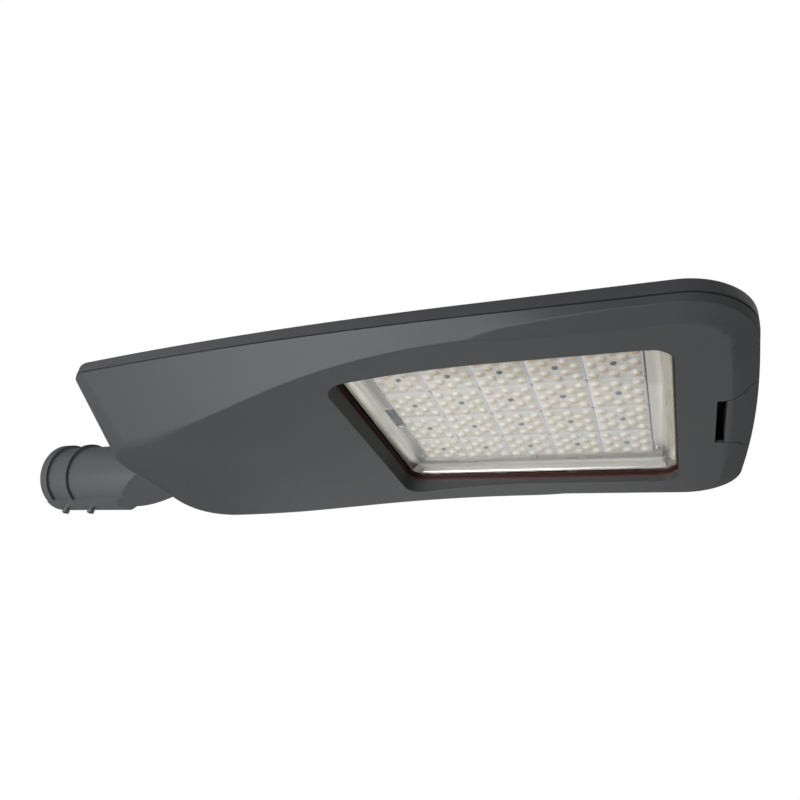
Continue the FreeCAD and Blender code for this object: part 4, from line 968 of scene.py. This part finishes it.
# Catch: a bent, zinc plated steel tab, screwed to the inside of the lid's front wall, for the
# latch's hook to hold.
coat("lid_catch", zinc_plate)
coat("catch_screws", stainless)

# Latch lever: the cast tip of the lamp, which turns on its pin, with a riveted spring steel
# hook that holds the lid shut.
# Blued spring steel is a dark, cool and fairly glossy metal.
spring_steel = grained("spring_steel_blued", "#55585c", "#64676b", 1.0, (0.28, 0.4), 0.004, Metallic=1.0)
latch_shell = merged_copy("latch_lever", "latch_shell", powder_coat)
shape_by(latch_shell, hull_form)
finish_mesh(latch_shell)
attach(latch_shell, "latch")
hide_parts("latch_lever")
coat("latch_spring_hook", spring_steel)
coat("hook_rivets", stainless)
# The forms that the castings were cut and joined by have done their work.
for form in (hull_form, crown_form, hinge_cuts, lid_cuts, pad_round, wedge, fin_ends):
    bpy.data.objects.remove(form)

# Studio: a pale floor well below the lamp, which hangs in the air as on its pole, a plain sky
# and large soft lamps.
FLOOR_X = (-4000.0, 5000.0)
FLOOR_Y = (-4000.0, 4000.0)
FLOOR_Z = -900.0
FLOOR_GLOW = 0.7
SKY_LEVEL = 0.28
# Matt white paper. Its glow shows to the camera alone, so that it adds no light to the lamp.
floor_finish, floor_tree, floor_shader = new_finish("studio_floor_white", Base_Color=linear("#dcdcdc"),
                                                    Emission_Color=linear("#ffffff"), Roughness=0.9)
rays = add_node(floor_tree, "LightPath")
glow = add_node(floor_tree, "Math", {0: rays.outputs["Is Camera Ray"], 1: FLOOR_GLOW}, operation="MULTIPLY")
floor_tree.links.new(glow.outputs["Value"], floor_shader.inputs["Emission Strength"])
floor = add_piece("floor", [(FLOOR_X[0], FLOOR_Y[0], FLOOR_Z), (FLOOR_X[1], FLOOR_Y[0], FLOOR_Z),
                            (FLOOR_X[1], FLOOR_Y[1], FLOOR_Z), (FLOOR_X[0], FLOOR_Y[1], FLOOR_Z)],
                  [(0, 1, 2, 3)], floor_finish)

# The sky is white to the camera and through clear pieces, and a plain dim light to all else.
world = bpy.data.worlds.new("studio")
bpy.context.scene.world = world
world.use_nodes = True
sky = world.node_tree
sky.nodes.clear()
rays = add_node(sky, "LightPath")
seen = add_node(sky, "Math", {0: rays.outputs["Is Camera Ray"], 1: rays.outputs["Is Transmission Ray"]},
                operation="MAXIMUM")
level = add_node(sky, "MapRange", {"Value": seen.outputs["Value"], "To Min": SKY_LEVEL, "To Max": 1.0})
white = add_node(sky, "Background", {"Color": (1.0, 1.0, 1.0, 1.0), "Strength": level.outputs["Result"]})
add_node(sky, "OutputWorld", {"Surface": white.outputs["Background"]})


def add_lamp(name, place, aim, size, power):
    """A square soft lamp that faces a point, places in mm and power in watts."""
    light = bpy.data.lights.new(name, "AREA")
    light.shape = "SQUARE"
    light.size = size * MM
    light.energy = power
    lamp = bpy.data.objects.new(name, light)
    bpy.context.scene.collection.objects.link(lamp)
    lamp.location = Vector(place) * MM
    lamp.rotation_euler = (Vector(aim) - Vector(place)).to_track_quat("-Z", "Y").to_euler()
    return lamp


add_lamp("key", (60.0, -800.0, -540.0), (420.0, -120.0, 20.0), 800.0, 12.0)
add_lamp("high", (-900.0, -1300.0, 900.0), (250.0, 0.0, 40.0), 1400.0, 3.5)
add_lamp("far", (100.0, 1500.0, -500.0), (400.0, 0.0, 20.0), 1200.0, 3.6)
add_lamp("low", (940.0, 800.0, -820.0), (450.0, 0.0, 50.0), 420.0, 0.9)
# The lamp beside the far edge shades the belly from there to the crease. The window would show
# it as a bright patch, so mirrors leave it out.
add_lamp("side", (150.0, 650.0, -400.0), (300.0, 0.0, 0.0), 500.0, 1.1).visible_glossy = False
add_lamp("fill", (1300.0, 400.0, 1500.0), (450.0, 0.0, 20.0), 1400.0, 6.5)

# Camera: below the lamp and on its near side, looking up at the window. Its place, its axes and
# its focal length, which is in pixels of the 800 pixel picture, were solved on the lens plates.
CAMERA = Vector((714.13, -577.63, -274.06)) * MM
RIGHT = Vector((0.92815, 0.34708, 0.13446))
UP = Vector((0.06304, -0.50260, 0.86222))
BACK = Vector((0.36684, -0.79179, -0.48837))
SENSOR = 36.0
FOCAL_PIXELS = 666.4
FRAME_PIXELS = 800.0
camera_data = bpy.data.cameras.new("camera")
camera_data.sensor_width = SENSOR
camera_data.lens = SENSOR * FOCAL_PIXELS / FRAME_PIXELS
camera_data.clip_start = 0.01
camera = bpy.data.objects.new("camera", camera_data)
bpy.context.scene.collection.objects.link(camera)
camera.matrix_world = Matrix((
    (RIGHT.x, UP.x, BACK.x, CAMERA.x),
    (RIGHT.y, UP.y, BACK.y, CAMERA.y),
    (RIGHT.z, UP.z, BACK.z, CAMERA.z),
    (0.0, 0.0, 0.0, 1.0)))
bpy.context.scene.camera = camera
bpy.context.scene.view_settings.view_transform = "Standard"
